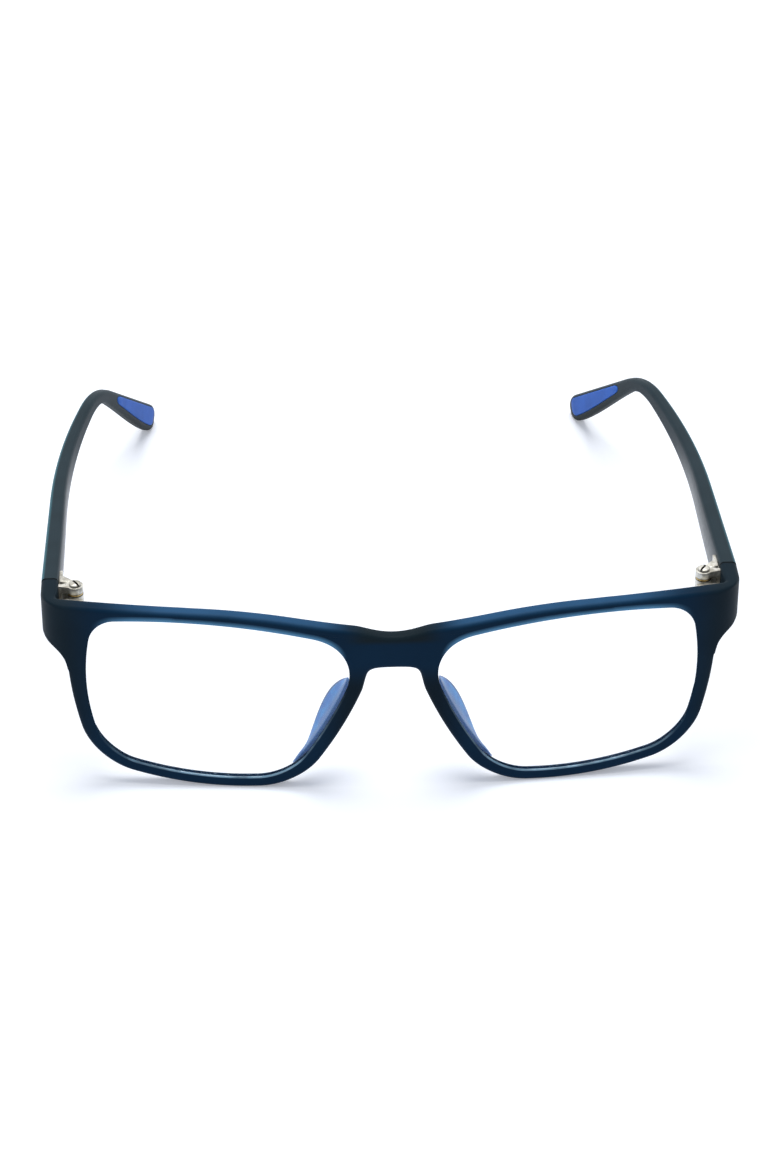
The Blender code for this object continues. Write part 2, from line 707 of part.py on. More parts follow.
def tip_grip(margin):
    """Rubber strip along the inside of the temple tip, grown by a margin."""
    last = TEMPLE_LENGTH - GRIP_END
    first = last - GRIP_LENGTH
    spots = [first - margin] + [first + GRIP_TAPER * x for x in (0.12, 0.4, 0.75)]
    spots += along(first + GRIP_TAPER, last - GRIP_TAPER, 7, True)
    spots += [last - GRIP_TAPER * x for x in (0.75, 0.4, 0.12)] + [last + margin]
    rings = []
    for s, (p, inward, up) in zip(spots, temple_frames(spots, SHAFT_FALL)):
        near = min(s - first, last - s) / GRIP_TAPER
        ends = math.sqrt(max(1 - max(1 - max(near, 0.04), 0)**2, 0.08))
        middle = p - up * (temple_depth(s) / 2)
        half = (temple_depth(s) / 2 - GRIP_BORDER) * ends + margin
        face = temple_thickness(s)
        bottom = face - GRIP_SUNK - margin
        top = face + GRIP_PROUD * ends + margin
        soft = 0.35 * half
        outline = [(bottom, -half), (top - GRIP_PROUD * 0.6, -half), (top, -half + soft),
                   (top, half - soft), (top - GRIP_PROUD * 0.6, half), (bottom, half)]
        rings.append([middle + inward * a + up * b for a, b in outline])
    return loft("tip_grip", rings)


def circle(radius, sides=PIN_SIDES, first=0.0, last=2 * math.pi, ends=False):
    """Points of a circle or arc about the hinge pin."""
    return [(PIN_X + radius * math.cos(a), PIN_Y + radius * math.sin(a))
            for a in along(first, last, sides, ends)]


def near_pin(*offsets):
    return [(PIN_X + a, PIN_Y + b) for a, b in offsets]


def knuckle_levels():
    """Foot and top of the lower knuckle, washer, middle knuckle, washer and upper knuckle."""
    levels = []
    z = HINGE_FOOT - FOOT_FLAT
    for height in (OUTER_KNUCKLE, WASHER_THICKNESS, MIDDLE_KNUCKLE, WASHER_THICKNESS, OUTER_KNUCKLE):
        levels.append((z, z + height))
        z += height + KNUCKLE_GAP
    return levels


def pin_hole(foot, top):
    """Cutter for the pin's hole, whose flats clear the pin all round."""
    radius = (PIN_RADIUS + PIN_CLEARANCE) / math.cos(math.pi / PIN_SIDES)
    return prism("hole", circle(radius), foot, top)


LEAF_FACE = HINGE_OFFSET - LEAF_THICKNESS + LEAF_SUNK
LEAF_BACK = HINGE_OFFSET + LEAF_SUNK
FOOT_CLEAR = KNUCKLE_RADIUS + FOOT_GAP


def front_leaf_plates(margin):
    """The front leaf's flange on the end piece and its foot behind the top bar."""
    foot = HINGE_FOOT - FOOT_FLAT - margin
    top = HINGE_TOP - FOOT_FLAT + margin
    turned = PIN_Y - (place(TURN_TO, 0, 0).y)
    ahead = HINGE_AHEAD - LEAF_SETBACK + margin
    flange = near_pin((LEAF_FACE - margin, -turned - margin), (LEAF_BACK + margin, -turned - margin),
                      (LEAF_BACK + margin, ahead), (LEAF_FACE - margin, ahead))
    rear = place(PIN_X, 0, FRONT_DEPTH).y - PIN_Y - LEAF_SUNK - margin
    half = FOOT_WIDTH / 2 + margin
    block = near_pin((-half, rear), (half, rear), (half, -FOOT_CLEAR + margin),
                     (-half, -FOOT_CLEAR + margin))
    return prism("flange", flange, foot, top), prism("foot", block, foot, top)


def front_hinge_leaf():
    """Two outer knuckles on arms from the flange and the foot."""
    flange, foot = front_leaf_plates(0)
    leaf = combine(flange, foot, 'UNION')
    half = FOOT_WIDTH / 2
    reach = LEAF_FACE + LEAF_THICKNESS / 2
    root = -FOOT_CLEAR - ARM_OVERLAP
    arm = near_pin((-half, root), (half, root),
                   (reach, -FOOT_CLEAR), (reach, HINGE_AHEAD - 1.5 * LEAF_SETBACK))
    arm += circle(KNUCKLE_RADIUS, 8, 40 * DEG, 180 * DEG, True)
    levels = knuckle_levels()
    for foot_z, top_z in (levels[0], levels[4]):
        leaf = combine(leaf, prism("arm", arm, foot_z, top_z), 'UNION')
    return combine(leaf, pin_hole(levels[0][0] - MM, levels[4][1] + MM), 'DIFFERENCE')


def temple_leaf_plate(margin):
    """Plate let into the temple's inner face, grown by a margin."""
    start = HINGE_AHEAD + JOINT_GAP + LEAF_SETBACK - margin
    end = start + TEMPLE_LEAF_LENGTH + 2 * margin
    drift = math.tan(SHAFT_TOE_IN)
    face = LEAF_FACE - margin
    back = LEAF_BACK + margin
    outline = near_pin((face - start * drift, start), (back - start * drift, start),
                       (back - end * drift, end), (face - end * drift, end))
    middle = (HINGE_FOOT + HINGE_TOP) / 2 - FOOT_FLAT
    half = TEMPLE_LEAF_HEIGHT / 2 + margin
    return prism("plate", outline, middle - half, middle + half)


def temple_hinge_leaf():
    """Middle knuckle on a gusset from the plate in the temple."""
    start = HINGE_AHEAD + JOINT_GAP + LEAF_SETBACK
    arm = circle(KNUCKLE_RADIUS, 12, 140 * DEG, 365 * DEG, True)
    inside = LEAF_FACE + LEAF_THICKNESS / 3
    arm += near_pin((LEAF_FACE, start - LEAF_SETBACK), (inside, start), (inside, start + GUSSET_LENGTH))
    foot, top = knuckle_levels()[2]
    leaf = combine(temple_leaf_plate(0), prism("arm", arm, foot, top), 'UNION')
    return combine(leaf, pin_hole(foot - MM, top + MM), 'DIFFERENCE')


def hinge_screw():
    """Slotted screw that is the hinge's pin."""
    levels = knuckle_levels()
    seat = levels[4][1] + KNUCKLE_GAP
    profile = [(PIN_RADIUS * 0.7, levels[0][0] - SCREW_TAIL), (PIN_RADIUS, levels[0][0]),
               (PIN_RADIUS, seat), (SCREW_HEAD_RADIUS, seat),
               (SCREW_HEAD_RADIUS, seat + SCREW_HEAD_HEIGHT * 0.6),
               (SCREW_HEAD_RADIUS * 0.75, seat + SCREW_HEAD_HEIGHT)]
    rings = [[Vector((x, y, z)) for x, y in circle(r)] for r, z in profile]
    half = SCREW_SLOT / 2
    long = SCREW_HEAD_RADIUS + MM
    slot = near_pin((-long, -half), (long, -half), (long, half), (-long, half))
    top = seat + SCREW_HEAD_HEIGHT
    cut = prism("slot", slot, top - SCREW_HEAD_HEIGHT / 2, top + MM)
    return combine(loft("hinge_screw", rings), cut, 'DIFFERENCE')


def hinge_washer(level):
    """Brass ring between two knuckles."""
    foot, top = level
    ring = prism("washer", circle(KNUCKLE_RADIUS), foot, top)
    return combine(ring, pin_hole(foot - MM, top + MM), 'DIFFERENCE')


def material(name, colour, roughness, metallic=0.0, alpha=1.0):
    mat = bpy.data.materials.new(name)
    mat.use_nodes = True
    shader = mat.node_tree.nodes["Principled BSDF"]
    shader.inputs["Base Color"].default_value = (*colour, 1.0)
    shader.inputs["Roughness"].default_value = roughness
    shader.inputs["Metallic"].default_value = metallic
    shader.inputs["Alpha"].default_value = alpha
    return mat


def pivot(name, parent, where):
    """Empty that carries a moving body, on its joint's axis."""
    empty = bpy.data.objects.new(name, None)
    bpy.context.scene.collection.objects.link(empty)
    empty.parent = parent
    empty.location = where
    return empty


def add(name, mesh, mat, parent, origin=Vector((0, 0, 0))):
    """Object of one piece, with its mesh moved to the parent's origin."""
    mesh.name = name
    for v in mesh.vertices:
        v.co -= origin
    mesh.materials.clear()
    mesh.materials.append(mat)
    mesh.shade_smooth()
    mesh.set_sharp_from_angle(angle=SMOOTH_ANGLE)
    obj = bpy.data.objects.new(name, mesh)
    bpy.context.scene.collection.objects.link(obj)
    obj.parent = parent
    return obj


def main():
    for obj in list(bpy.data.objects):
        bpy.data.objects.remove(obj)

    navy = material("navy_front", (0.012, 0.028, 0.055), 0.42)
    slate = material("slate_temple", (0.032, 0.055, 0.07), 0.5)
    blue = material("blue_grip", (0.03, 0.12, 0.5), 0.6)
    pad = material("soft_pad", (0.16, 0.27, 0.68), 0.35, alpha=0.7)
    clear = material("clear_lens", (0.93, 0.96, 1.0), 0.03, alpha=0.12)
    nickel = material("nickel", (0.72, 0.7, 0.66), 0.28, 1.0)
    brass = material("brass", (0.75, 0.52, 0.2), 0.3, 1.0)

    temple = temple_blank()
    depth = max(v.co.y for v in temple.vertices)
    temple = combine(temple, tip_grip(GRIP_CLEARANCE), 'DIFFERENCE')
    temple = combine(temple, temple_leaf_plate(LEAF_CLEARANCE), 'DIFFERENCE')
    frame = front_frame()
    for seat in front_leaf_plates(LEAF_CLEARANCE):
        frame = combine(frame, mirrored(seat), 'DIFFERENCE')
        frame = combine(frame, seat, 'DIFFERENCE')

    root = pivot("glasses", None, (0, -depth / 2, 0))
    add("front_frame", frame, navy, root)
    levels = knuckle_levels()
    fixed = {
        "lens": (lens(), clear),
        "nose_pad": (nose_pad(), pad),
        "front_hinge_leaf": (front_hinge_leaf(), nickel),
        "hinge_screw": (hinge_screw(), nickel),
        "upper_hinge_washer": (hinge_washer(levels[3]), brass),
        "lower_hinge_washer": (hinge_washer(levels[1]), brass),
    }
    folding = {
        "temple": (temple, slate),
        "tip_grip": (tip_grip(0), blue),
        "temple_hinge_leaf": (temple_hinge_leaf(), nickel),
    }
    middle = (HINGE_FOOT + HINGE_TOP) / 2 - FOOT_FLAT
    for side, sign in (("left", 1), ("right", -1)):
        axis = Vector((sign * PIN_X, PIN_Y, middle))
        hinge = pivot(side + "_temple_pivot", root, axis)
        for name, (mesh, mat) in fixed.items():
            add(side + "_" + name, mesh.copy() if sign > 0 else mirrored(mesh), mat, root)
        for name, (mesh, mat) in folding.items():
            add(side + "_" + name, mesh.copy() if sign > 0 else mirrored(mesh), mat, hinge, axis)
        print(side, "hinge axis", round(axis.x, 6), round(axis.y - depth / 2, 6), round(axis.z, 6))


main()
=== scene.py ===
import bisect
import json
import math

import bmesh
import bpy
from mathutils import Matrix, Vector

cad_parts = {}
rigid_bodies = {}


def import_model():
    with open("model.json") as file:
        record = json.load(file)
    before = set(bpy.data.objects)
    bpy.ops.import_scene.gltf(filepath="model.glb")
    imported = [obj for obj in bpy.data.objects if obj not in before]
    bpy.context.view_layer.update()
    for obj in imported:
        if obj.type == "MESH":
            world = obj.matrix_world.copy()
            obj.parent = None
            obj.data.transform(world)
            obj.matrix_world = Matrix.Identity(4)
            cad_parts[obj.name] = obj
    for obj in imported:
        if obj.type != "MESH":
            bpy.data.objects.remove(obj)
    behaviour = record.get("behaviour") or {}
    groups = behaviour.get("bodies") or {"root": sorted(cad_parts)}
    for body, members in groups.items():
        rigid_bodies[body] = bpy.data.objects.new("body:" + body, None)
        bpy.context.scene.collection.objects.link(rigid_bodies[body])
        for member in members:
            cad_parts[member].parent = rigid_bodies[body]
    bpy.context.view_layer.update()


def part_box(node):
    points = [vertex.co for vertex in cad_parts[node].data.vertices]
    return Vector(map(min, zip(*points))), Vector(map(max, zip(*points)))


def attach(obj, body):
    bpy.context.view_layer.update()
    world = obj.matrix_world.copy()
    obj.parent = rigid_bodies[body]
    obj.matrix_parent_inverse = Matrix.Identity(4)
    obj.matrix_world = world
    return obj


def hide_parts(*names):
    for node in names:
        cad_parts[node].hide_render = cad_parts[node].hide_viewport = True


for leftOver in list(bpy.data.objects):
    bpy.data.objects.remove(leftOver)
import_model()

mm = 0.001
deg = math.pi / 180
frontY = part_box("front_frame")[0].y    # front face at the bridge
smoothAngle = 38 * deg
print("frame loaded, front face at", round(frontY / mm, 2), "mm")


# node helpers, for both geometry and shader trees

def newNode(tree, kind, links=None, **settings):
    node = tree.nodes.new(kind)
    for key, value in settings.items():
        setattr(node, key, value)
    for key, value in (links or {}).items():
        feed(tree, node.inputs[key], value)
    return node


def feed(tree, socket, value):
    if isinstance(value, bpy.types.NodeSocket):
        tree.links.new(value, socket)
    else:
        socket.default_value = value


def addSockets(tree, way, kind, *names):
    for name in names:
        tree.interface.new_socket(name=name, in_out=way, socket_type="NodeSocket" + kind)


def calc(tree, operation, a, b=0.0, c=0.0):
    return newNode(tree, 'ShaderNodeMath', {0: a, 1: b, 2: c}, operation=operation).outputs[0]


def times(tree, a, b):
    return calc(tree, 'MULTIPLY', a, b)


def vec(tree, operation, a, b=(0, 0, 0)):
    return newNode(tree, 'ShaderNodeVectorMath', {0: a, 1: b}, operation=operation).outputs["Vector"]


def stretch(tree, vector, amount):
    links = {"Vector": vector, "Scale": amount}
    return newNode(tree, 'ShaderNodeVectorMath', links, operation='SCALE').outputs["Vector"]


def apart(tree, vector):
    return newNode(tree, 'ShaderNodeSeparateXYZ', {0: vector}).outputs


def ramp(tree, value, first, last, low, high, kind='SMOOTHSTEP'):
    links = {"Value": value, "From Min": first, "From Max": last, "To Min": low, "To Max": high}
    return newNode(tree, 'ShaderNodeMapRange', links, interpolation_type=kind).outputs["Result"]


def objectPlace(tree):
    return newNode(tree, 'ShaderNodeTexCoord').outputs["Object"]


def attribute(tree, name):
    return newNode(tree, 'ShaderNodeAttribute', attribute_name=name).outputs["Fac"]


def noise(tree, where, scale, detail, roughness=0.5):
    links = {"Vector": where, "Scale": scale, "Detail": detail, "Roughness": roughness}
    return newNode(tree, 'ShaderNodeTexNoise', links).outputs["Fac"]


def mixColour(tree, factor, a, b):
    node = newNode(tree, 'ShaderNodeMix', data_type='RGBA')
    for socket, value in ((node.inputs["Factor"], factor), (node.inputs[6], a), (node.inputs[7], b)):
        feed(tree, socket, (*value, 1) if isinstance(value, tuple) else value)
    return node.outputs[2]


def newMaterial(name):
    mat = bpy.data.materials.new(name)
    mat.use_nodes = True
    return mat, mat.node_tree, mat.node_tree.nodes["Principled BSDF"]


def dress(tree, shader, paint, rough, finish, height):
    bump = newNode(tree, 'ShaderNodeBump', {"Strength": finish["bump"], "Distance": finish["bumpDepth"],
                                            "Height": height})
    tree.links.new(paint, shader.inputs["Base Color"])
    tree.links.new(rough, shader.inputs["Roughness"])
    tree.links.new(bump.outputs["Normal"], shader.inputs["Normal"])


def toSurface(tree, shader):
    tree.links.new(shader.outputs[0], tree.nodes["Material Output"].inputs["Surface"])


# camera and light, at the angle of the photograph

cameraSet = {
    "elevation": 33.0 * deg,
    "turn": 2.8752 * deg,
    "roll": 0.1545 * deg,
    "place": (-29.17 * mm, -564.13 * mm, 415.40 * mm),    # from the front face
    "focalPixels": 3465,
    "imageHeight": 1170,
    "sensor": 36,
    "clip": (0.01, 50),
}


def addCamera(c):
    e, turn, roll = c["elevation"], c["turn"], c["roll"]
    ahead = Vector((math.sin(turn) * math.cos(e), math.cos(turn) * math.cos(e), -math.sin(e)))
    level = Vector((math.cos(turn), -math.sin(turn), 0))
    rise = level.cross(ahead)
    right = level * math.cos(roll) + rise * math.sin(roll)
    up = rise * math.cos(roll) - level * math.sin(roll)
    data = bpy.data.cameras.new("photoCamera")
    data.sensor_width = c["sensor"]
    data.lens = c["sensor"] * c["focalPixels"] / c["imageHeight"]
    data.clip_start, data.clip_end = c["clip"]
    cam = bpy.data.objects.new("photoCamera", data)
    bpy.context.scene.collection.objects.link(cam)
    facing = Matrix((right, up, -ahead)).transposed().to_4x4()
    cam.matrix_world = Matrix.Translation(Vector(c["place"]) + Vector((0, frontY, 0))) @ facing
    bpy.context.scene.camera = cam


lightSet = {
    "overhead": {"at": (0.0, 0.07, 0.94), "aim": (0, 0, 0), "size": 0.7, "watts": 7.6,
                 "colour": (1.0, 0.99, 0.97)},
    "window": {"at": (-0.75, -0.45, 0.62), "aim": (0, -0.03, 0.02), "size": 0.5, "watts": 1.1,
               "colour": (0.93, 0.97, 1.0)},
}
worldSet = {"fill": (0.72, 0.81, 1.0), "fillStrength": 0.36}
floorSet = {
    "half": 6.0, "colour": (0.86, 0.88, 0.91), "roughness": 0.9, "liftColour": (0.95, 0.96, 1.0),
    "lift": (0.18, 0.55, 0.30, 0.85),    # near and far from the object, and the glow there
}


def addLights():
    for name, l in lightSet.items():
        data = bpy.data.lights.new(name, 'AREA')
        data.shape = 'DISK'
        data.size = l["size"]
        data.energy = l["watts"]
        data.color = l["colour"]
        lamp = bpy.data.objects.new(name, data)
        lamp.location = l["at"]
        lamp.rotation_euler = (Vector(l["aim"]) - Vector(l["at"])).to_track_quat('-Z', 'Y').to_euler()
        bpy.context.scene.collection.objects.link(lamp)


def seenRays(tree):
    # 1 where the camera, a reflection or a lens looks straight at it
    rays = newNode(tree, 'ShaderNodeLightPath').outputs
    straight = calc(tree, 'MAXIMUM', rays["Is Camera Ray"], rays["Is Glossy Ray"])
    return calc(tree, 'MAXIMUM', straight, rays["Is Transmission Ray"])


def addWorld():
    world = bpy.data.worlds.new("studio")
    bpy.context.scene.world = world
    world.use_nodes = True
    tree = world.node_tree
    tree.nodes.clear()
    fill = newNode(tree, 'ShaderNodeBackground', {"Color": (*worldSet["fill"], 1),
                                                  "Strength": worldSet["fillStrength"]})
    white = newNode(tree, 'ShaderNodeBackground', {"Color": (1, 1, 1, 1)})
    mix = newNode(tree, 'ShaderNodeMixShader', {0: seenRays(tree), 1: fill.outputs[0], 2: white.outputs[0]})
    newNode(tree, 'ShaderNodeOutputWorld', {"Surface": mix.outputs[0]})


def addFloor():
    h = floorSet["half"]
    data = bpy.data.meshes.new("floor")
    data.from_pydata([(-h, -h, 0), (h, -h, 0), (h, h, 0), (-h, h, 0)], [], [(0, 1, 2, 3)])
    floor = bpy.data.objects.new("floor", data)
    bpy.context.scene.collection.objects.link(floor)
    mat, tree, shader = newMaterial("paleTable")
    shader.inputs["Base Color"].default_value = (*floorSet["colour"], 1)
    shader.inputs["Roughness"].default_value = floorSet["roughness"]
    shader.inputs["Specular IOR Level"].default_value = 0.0
    away = newNode(tree, 'ShaderNodeVectorMath', {0: objectPlace(tree)}, operation='LENGTH').outputs["Value"]
    lift = times(tree, seenRays(tree), ramp(tree, away, *floorSet["lift"], 'LINEAR'))
    glow = newNode(tree, 'ShaderNodeEmission', {"Color": (*floorSet["liftColour"], 1), "Strength": lift})
    toSurface(tree, newNode(tree, 'ShaderNodeAddShader', {0: shader.outputs[0], 1: glow.outputs[0]}))
    data.materials.append(mat)


addCamera(cameraSet)
addLights()
addWorld()
addFloor()
bpy.context.scene.view_settings.view_transform = 'Standard'
print("camera, lights and floor")


# materials; a zone gives where a value starts and ends, and what it turns into

grain = {"detail": 3.0, "roughness": 0.6, "mottleScale": 120.0, "mottleDetail": 2.0,
         "mottleZone": (0.3, 0.7, -0.5, 0.5)}


def mouldedGrain():
    # fine moulded grain and a soft mottle, shared by the plastics and rubbers
    tree = bpy.data.node_groups.new("mouldedGrain", 'ShaderNodeTree')
    addSockets(tree, 'INPUT', "Color", "Colour")
    addSockets(tree, 'INPUT', "Float", "Roughness", "Grain Scale", "Grain Roughness", "Mottle")
    addSockets(tree, 'OUTPUT', "Color", "Colour")
    addSockets(tree, 'OUTPUT', "Float", "Roughness", "Height")
    given = newNode(tree, 'NodeGroupInput').outputs
    where = objectPlace(tree)
    fine = noise(tree, where, given["Grain Scale"], grain["detail"], grain["roughness"])
    broad = noise(tree, where, grain["mottleScale"], grain["mottleDetail"])
    gain = calc(tree, 'MULTIPLY_ADD', ramp(tree, broad, *grain["mottleZone"]), given["Mottle"], 1.0)
    rough = calc(tree, 'SUBTRACT', fine, 0.5)
    rough = calc(tree, 'MULTIPLY_ADD', rough, given["Grain Roughness"], given["Roughness"])
    shade = stretch(tree, given["Colour"], gain)
    newNode(tree, 'NodeGroupOutput', {"Colour": shade, "Roughness": rough, "Height": fine})
    return tree


grainTree = mouldedGrain()


def grainMaterial(name, finish, colour=None, polish=None):
    # colour and polish may be functions that make a socket with nodes of their own
    mat, tree, shader = newMaterial(name)
    group = newNode(tree, 'ShaderNodeGroup', node_tree=grainTree)
    feed(tree, group.inputs["Colour"], colour(tree) if colour else (*finish["colour"], 1))
    for socket, key in (("Roughness", "roughness"), ("Grain Scale", "grainScale"),
                        ("Grain Roughness", "grainRoughness"), ("Mottle", "mottle")):
        group.inputs[socket].default_value = finish[key]
    made = group.outputs
    dress(tree, shader, made["Colour"], made["Roughness"], finish, made["Height"])
    if polish:
        tree.links.new(polish(tree), shader.inputs["Coat Weight"])
    for socket, value in finish["shader"].items():
        shader.inputs[socket].default_value = value
    return mat


frontFinish = {
    # brow is a painted highlight, glow a painted reflection, lip a painted highlight and seam a painted shade
    "navy": (0.0038, 0.022, 0.050), "brow": (0.024, 0.085, 0.18), "slate": (0.0085, 0.0175, 0.024),
    "glow": (0.10, 0.27, 0.45), "dark": (0.005, 0.011, 0.015), "lip": (0.20, 0.36, 0.46),
    "seam": (0.002, 0.004, 0.006), "lipHighlight": 0.8,
    "roughness": 0.46, "grainScale": 5200.0, "grainRoughness": 0.10, "mottle": 0.14,
    "bump": 0.12, "bumpDepth": 0.04 * mm,
    "shader": {"Specular IOR Level": 0.04, "Coat Roughness": 0.14, "Coat IOR": 1.7,
               "Coat Tint": (0.72, 0.90, 1.0, 1)},
}
frontZones = {
    # inBrow to browTop place the brows' painted highlight, glow the painted reflection, streak and the span
    # after it the lips' painted highlight, and seam the painted shade at the joint
    "inBrow": (8 * mm, 15 * mm, 0.0, 1.0), "offEnd": (44 * mm, 60 * mm, 1.0, 0.0),
    "browRise": (30 * mm, 34 * mm, 0.0, 1.0), "browTop": (0.0, 1.0, 0.0, 1.0),
    "endPiece": (57 * mm, 66 * mm, 0.0, 0.9), "nose": (5 * mm, 11 * mm, 1.0, 0.0),
    "crest": (34.2 * mm, 35.6 * mm, 0.0, 1.0), "nasal": (16 * mm, 8 * mm, 0.0, 0.8),
    "nasalRise": (30 * mm, 24 * mm, 0.0, 1.0), "glow": (61 * mm, 50 * mm, 0.0, 1.0),
    "seam": (-0.4 * mm, -0.05 * mm, 0.0, 0.9),
    "streak": (0.35, 0.6, 0.45, 1.0), "highlightSpan": (58 * mm, 48 * mm, 0.2, 1.0),
    "streakScale": 260.0, "streakDetail": 2.0,
}
templeFinish = {
    # outer is a painted highlight on the upper outer edge and a bluer tone on the outer face, inner a painted
    # sheen, shade a painted shade
    "colour": (0.0215, 0.036, 0.045), "outer": (0.05, 0.145, 0.178), "inner": (0.078, 0.088, 0.096),
    "shade": (0.006, 0.011, 0.012), "polish": 0.8,
    "roughness": 0.5, "grainScale": 5200.0, "grainRoughness": 0.12, "mottle": 0.14,
    "bump": 0.14, "bumpDepth": 0.04 * mm,
    "shader": {"Specular IOR Level": 0.05, "Coat Roughness": 0.3, "Coat IOR": 1.5},
}
templeZones = {
    # speck and the fade after it shape the inside's painted sheen; shade and seam place painted shade
    "speck": (0.35, 0.65, 0.75, 1.0), "speckScale": 900.0, "speckDetail": 3.0,
    "paintedShine": (-20 * mm, 8 * mm, 1.0, 0.0), "shade": (30 * mm, 60 * mm, 0.0, 0.85),
    "seam": (0.35 * mm, 0.0, 0.0, 0.9),
}
gripFinish = {
    "colour": (0.030, 0.13, 0.52),
    "roughness": 0.6, "grainScale": 3600.0, "grainRoughness": 0.2, "mottle": 0.2,
    "bump": 0.35, "bumpDepth": 0.06 * mm,
    "shader": {"Specular IOR Level": 0.15},
}
padFinish = {
    "blue": (0.086, 0.31, 0.64), "violet": (0.092, 0.23, 0.55),
    "edge": (0.07, 0.09, 0.17), "root": (0.095, 0.20, 0.42),
    "cloudScale": 420.0, "cloudDetail": 3.0, "cloudZone": (0.35, 0.65, 0.0, 1.0),
    "rootZone": (0.02, 0.4, 0.0, 1.0), "edgeZone": (0.78, 0.9, 0.0, 1.0),
    "roughness": 0.34, "grainScale": 2600.0, "grainRoughness": 0.12, "mottle": 0.12,
    "bump": 0.1, "bumpDepth": 0.04 * mm,
    "shader": {"Subsurface Weight": 0.35, "Subsurface Radius": (0.8 * mm, 1.1 * mm, 2.4 * mm),
               "Subsurface Scale": 1.0, "Specular IOR Level": 0.2},
}


def zoneFrom(start, zone):
    # a zone measured from a place
    first, last, low, high = zone
    return start + first, start + last, low, high


def frontColour(tree):
    # navy face, a brighter blue band along the brows that is a painted highlight, slate at the bridge and end
    # pieces, a painted reflection and a painted highlight on the lips, and painted shade at the joint
    spot, zone, paints = apart(tree, objectPlace(tree)), frontZones, frontFinish
    across, rise = calc(tree, 'ABSOLUTE', spot["X"]), spot["Z"]
    # painted highlight: the brows' tops lit a brighter blue
    brow = times(tree, ramp(tree, across, *zone["inBrow"]), ramp(tree, across, *zone["offEnd"]))
    brow = times(tree, brow, ramp(tree, rise, *zone["browRise"]))
    brow = times(tree, brow, ramp(tree, attribute(tree, "outer"), *zone["browTop"]))
    crest = times(tree, ramp(tree, across, *zone["nose"]), ramp(tree, rise, *zone["crest"]))
    grey = calc(tree, 'MAXIMUM', ramp(tree, across, *zone["endPiece"]), crest)
    nasal = times(tree, ramp(tree, across, *zone["nasal"]), ramp(tree, rise, *zone["nasalRise"]))
    # painted reflection along the top bars' lower lips
    glow = times(tree, attribute(tree, "glow"), ramp(tree, across, *zone["glow"]))
    # painted highlight on the bottom lips
    paintedShine = times(tree, lipCoatAndHighlight(tree), paints["lipHighlight"])
    # painted shade in the gap at the joint with the temple
    seam = ramp(tree, spot["Y"], *zoneFrom(joint.y, zone["seam"]))
    paint = paints["navy"]
    for share, name in ((nasal, "dark"), (brow, "brow"), (grey, "slate"), (glow, "glow"), (paintedShine, "lip"),
                        (seam, "seam")):
        paint = mixColour(tree, share, paint, paints[name])
    return paint


def lipCoatAndHighlight(tree):
    # a coat on the lower lips of the openings, with a painted highlight in streaks, brightest in the middle
    # of the rim
    where, zone = objectPlace(tree), frontZones
    across = calc(tree, 'ABSOLUTE', apart(tree, where)["X"])
    streak = noise(tree, where, zone["streakScale"], zone["streakDetail"])
    highlightSpan = times(tree, ramp(tree, streak, *zone["streak"]), ramp(tree, across, *zone["highlightSpan"]))
    return times(tree, attribute(tree, "lip"), highlightSpan)


def insideSheen(tree):
    # patchy coat on the inside, from the joint to the bend, with a painted sheen there
    where, zone = objectPlace(tree), templeZones
    speck = noise(tree, where, zone["speckScale"], zone["speckDetail"])
    patch = times(tree, ramp(tree, speck, *zone["speck"]), ramp(tree, apart(tree, where)["Y"], *zone["paintedShine"]))
    return times(tree, attribute(tree, "inside"), patch)


def templeColour(tree):
    # bluest along the upper outer edge, a painted highlight; paler on the inside as far as the bend, a
    # painted sheen; painted shade round the grip and at the joint
    back, zone, paints = apart(tree, objectPlace(tree))["Y"], templeZones, templeFinish
    # painted highlight along the upper outer edge, and a bluer tone on the outer face
    paint = mixColour(tree, attribute(tree, "highlightBand"), paints["colour"], paints["outer"])
    # painted sheen on the inside
    paint = mixColour(tree, insideSheen(tree), paint, paints["inner"])
    # painted shade on the inside and underside towards the tip
    hidden = calc(tree, 'MAXIMUM', attribute(tree, "inside"), attribute(tree, "beneath"))
    shade = times(tree, hidden, ramp(tree, back, *zone["shade"]))
    paint = mixColour(tree, shade, paint, paints["shade"])
    # painted shade in the gap at the joint with the front
    seam = ramp(tree, back, *zoneFrom(joint.y + hinge["jointGap"], zone["seam"]))
    return mixColour(tree, seam, paint, frontFinish["seam"])


def templePolish(tree):
    return times(tree, insideSheen(tree), templeFinish["polish"])


def padColour(tree):
    # cloudy blue and violet, darker at the root and along the free edge
    f = padFinish
    cloud = noise(tree, objectPlace(tree), f["cloudScale"], f["cloudDetail"])
    paint = mixColour(tree, ramp(tree, cloud, *f["cloudZone"]), f["blue"], f["violet"])
    edge = attribute(tree, "edge")
    paint = mixColour(tree, ramp(tree, edge, *f["rootZone"]), f["root"], paint)
    return mixColour(tree, ramp(tree, edge, *f["edgeZone"]), paint, f["edge"])


metalWear = {
    "stretch": (1, 1, 6), "streakScale": 2600.0, "streakDetail": 4.0, "streakZone": (0.2, 0.8),
    "dullScale": 700.0, "dullDetail": 2.0, "dullZone": (0.35, 0.7, 0.0, 1.0),
    "bump": 0.2, "bumpDepth": 0.02 * mm,
}
# the darkest colour is painted shade, in the hinge's gaps and the screw's slot
nickelFinish = {"bright": (0.74, 0.72, 0.65), "dull": (0.38, 0.36, 0.30), "paintedShade": (0.02, 0.018, 0.012),
                "roughness": (0.24, 0.44), "metallic": 0.6}
brassFinish = {"bright": (0.66, 0.50, 0.22), "dull": (0.44, 0.30, 0.11),
               "roughness": (0.18, 0.36), "metallic": 1.0}


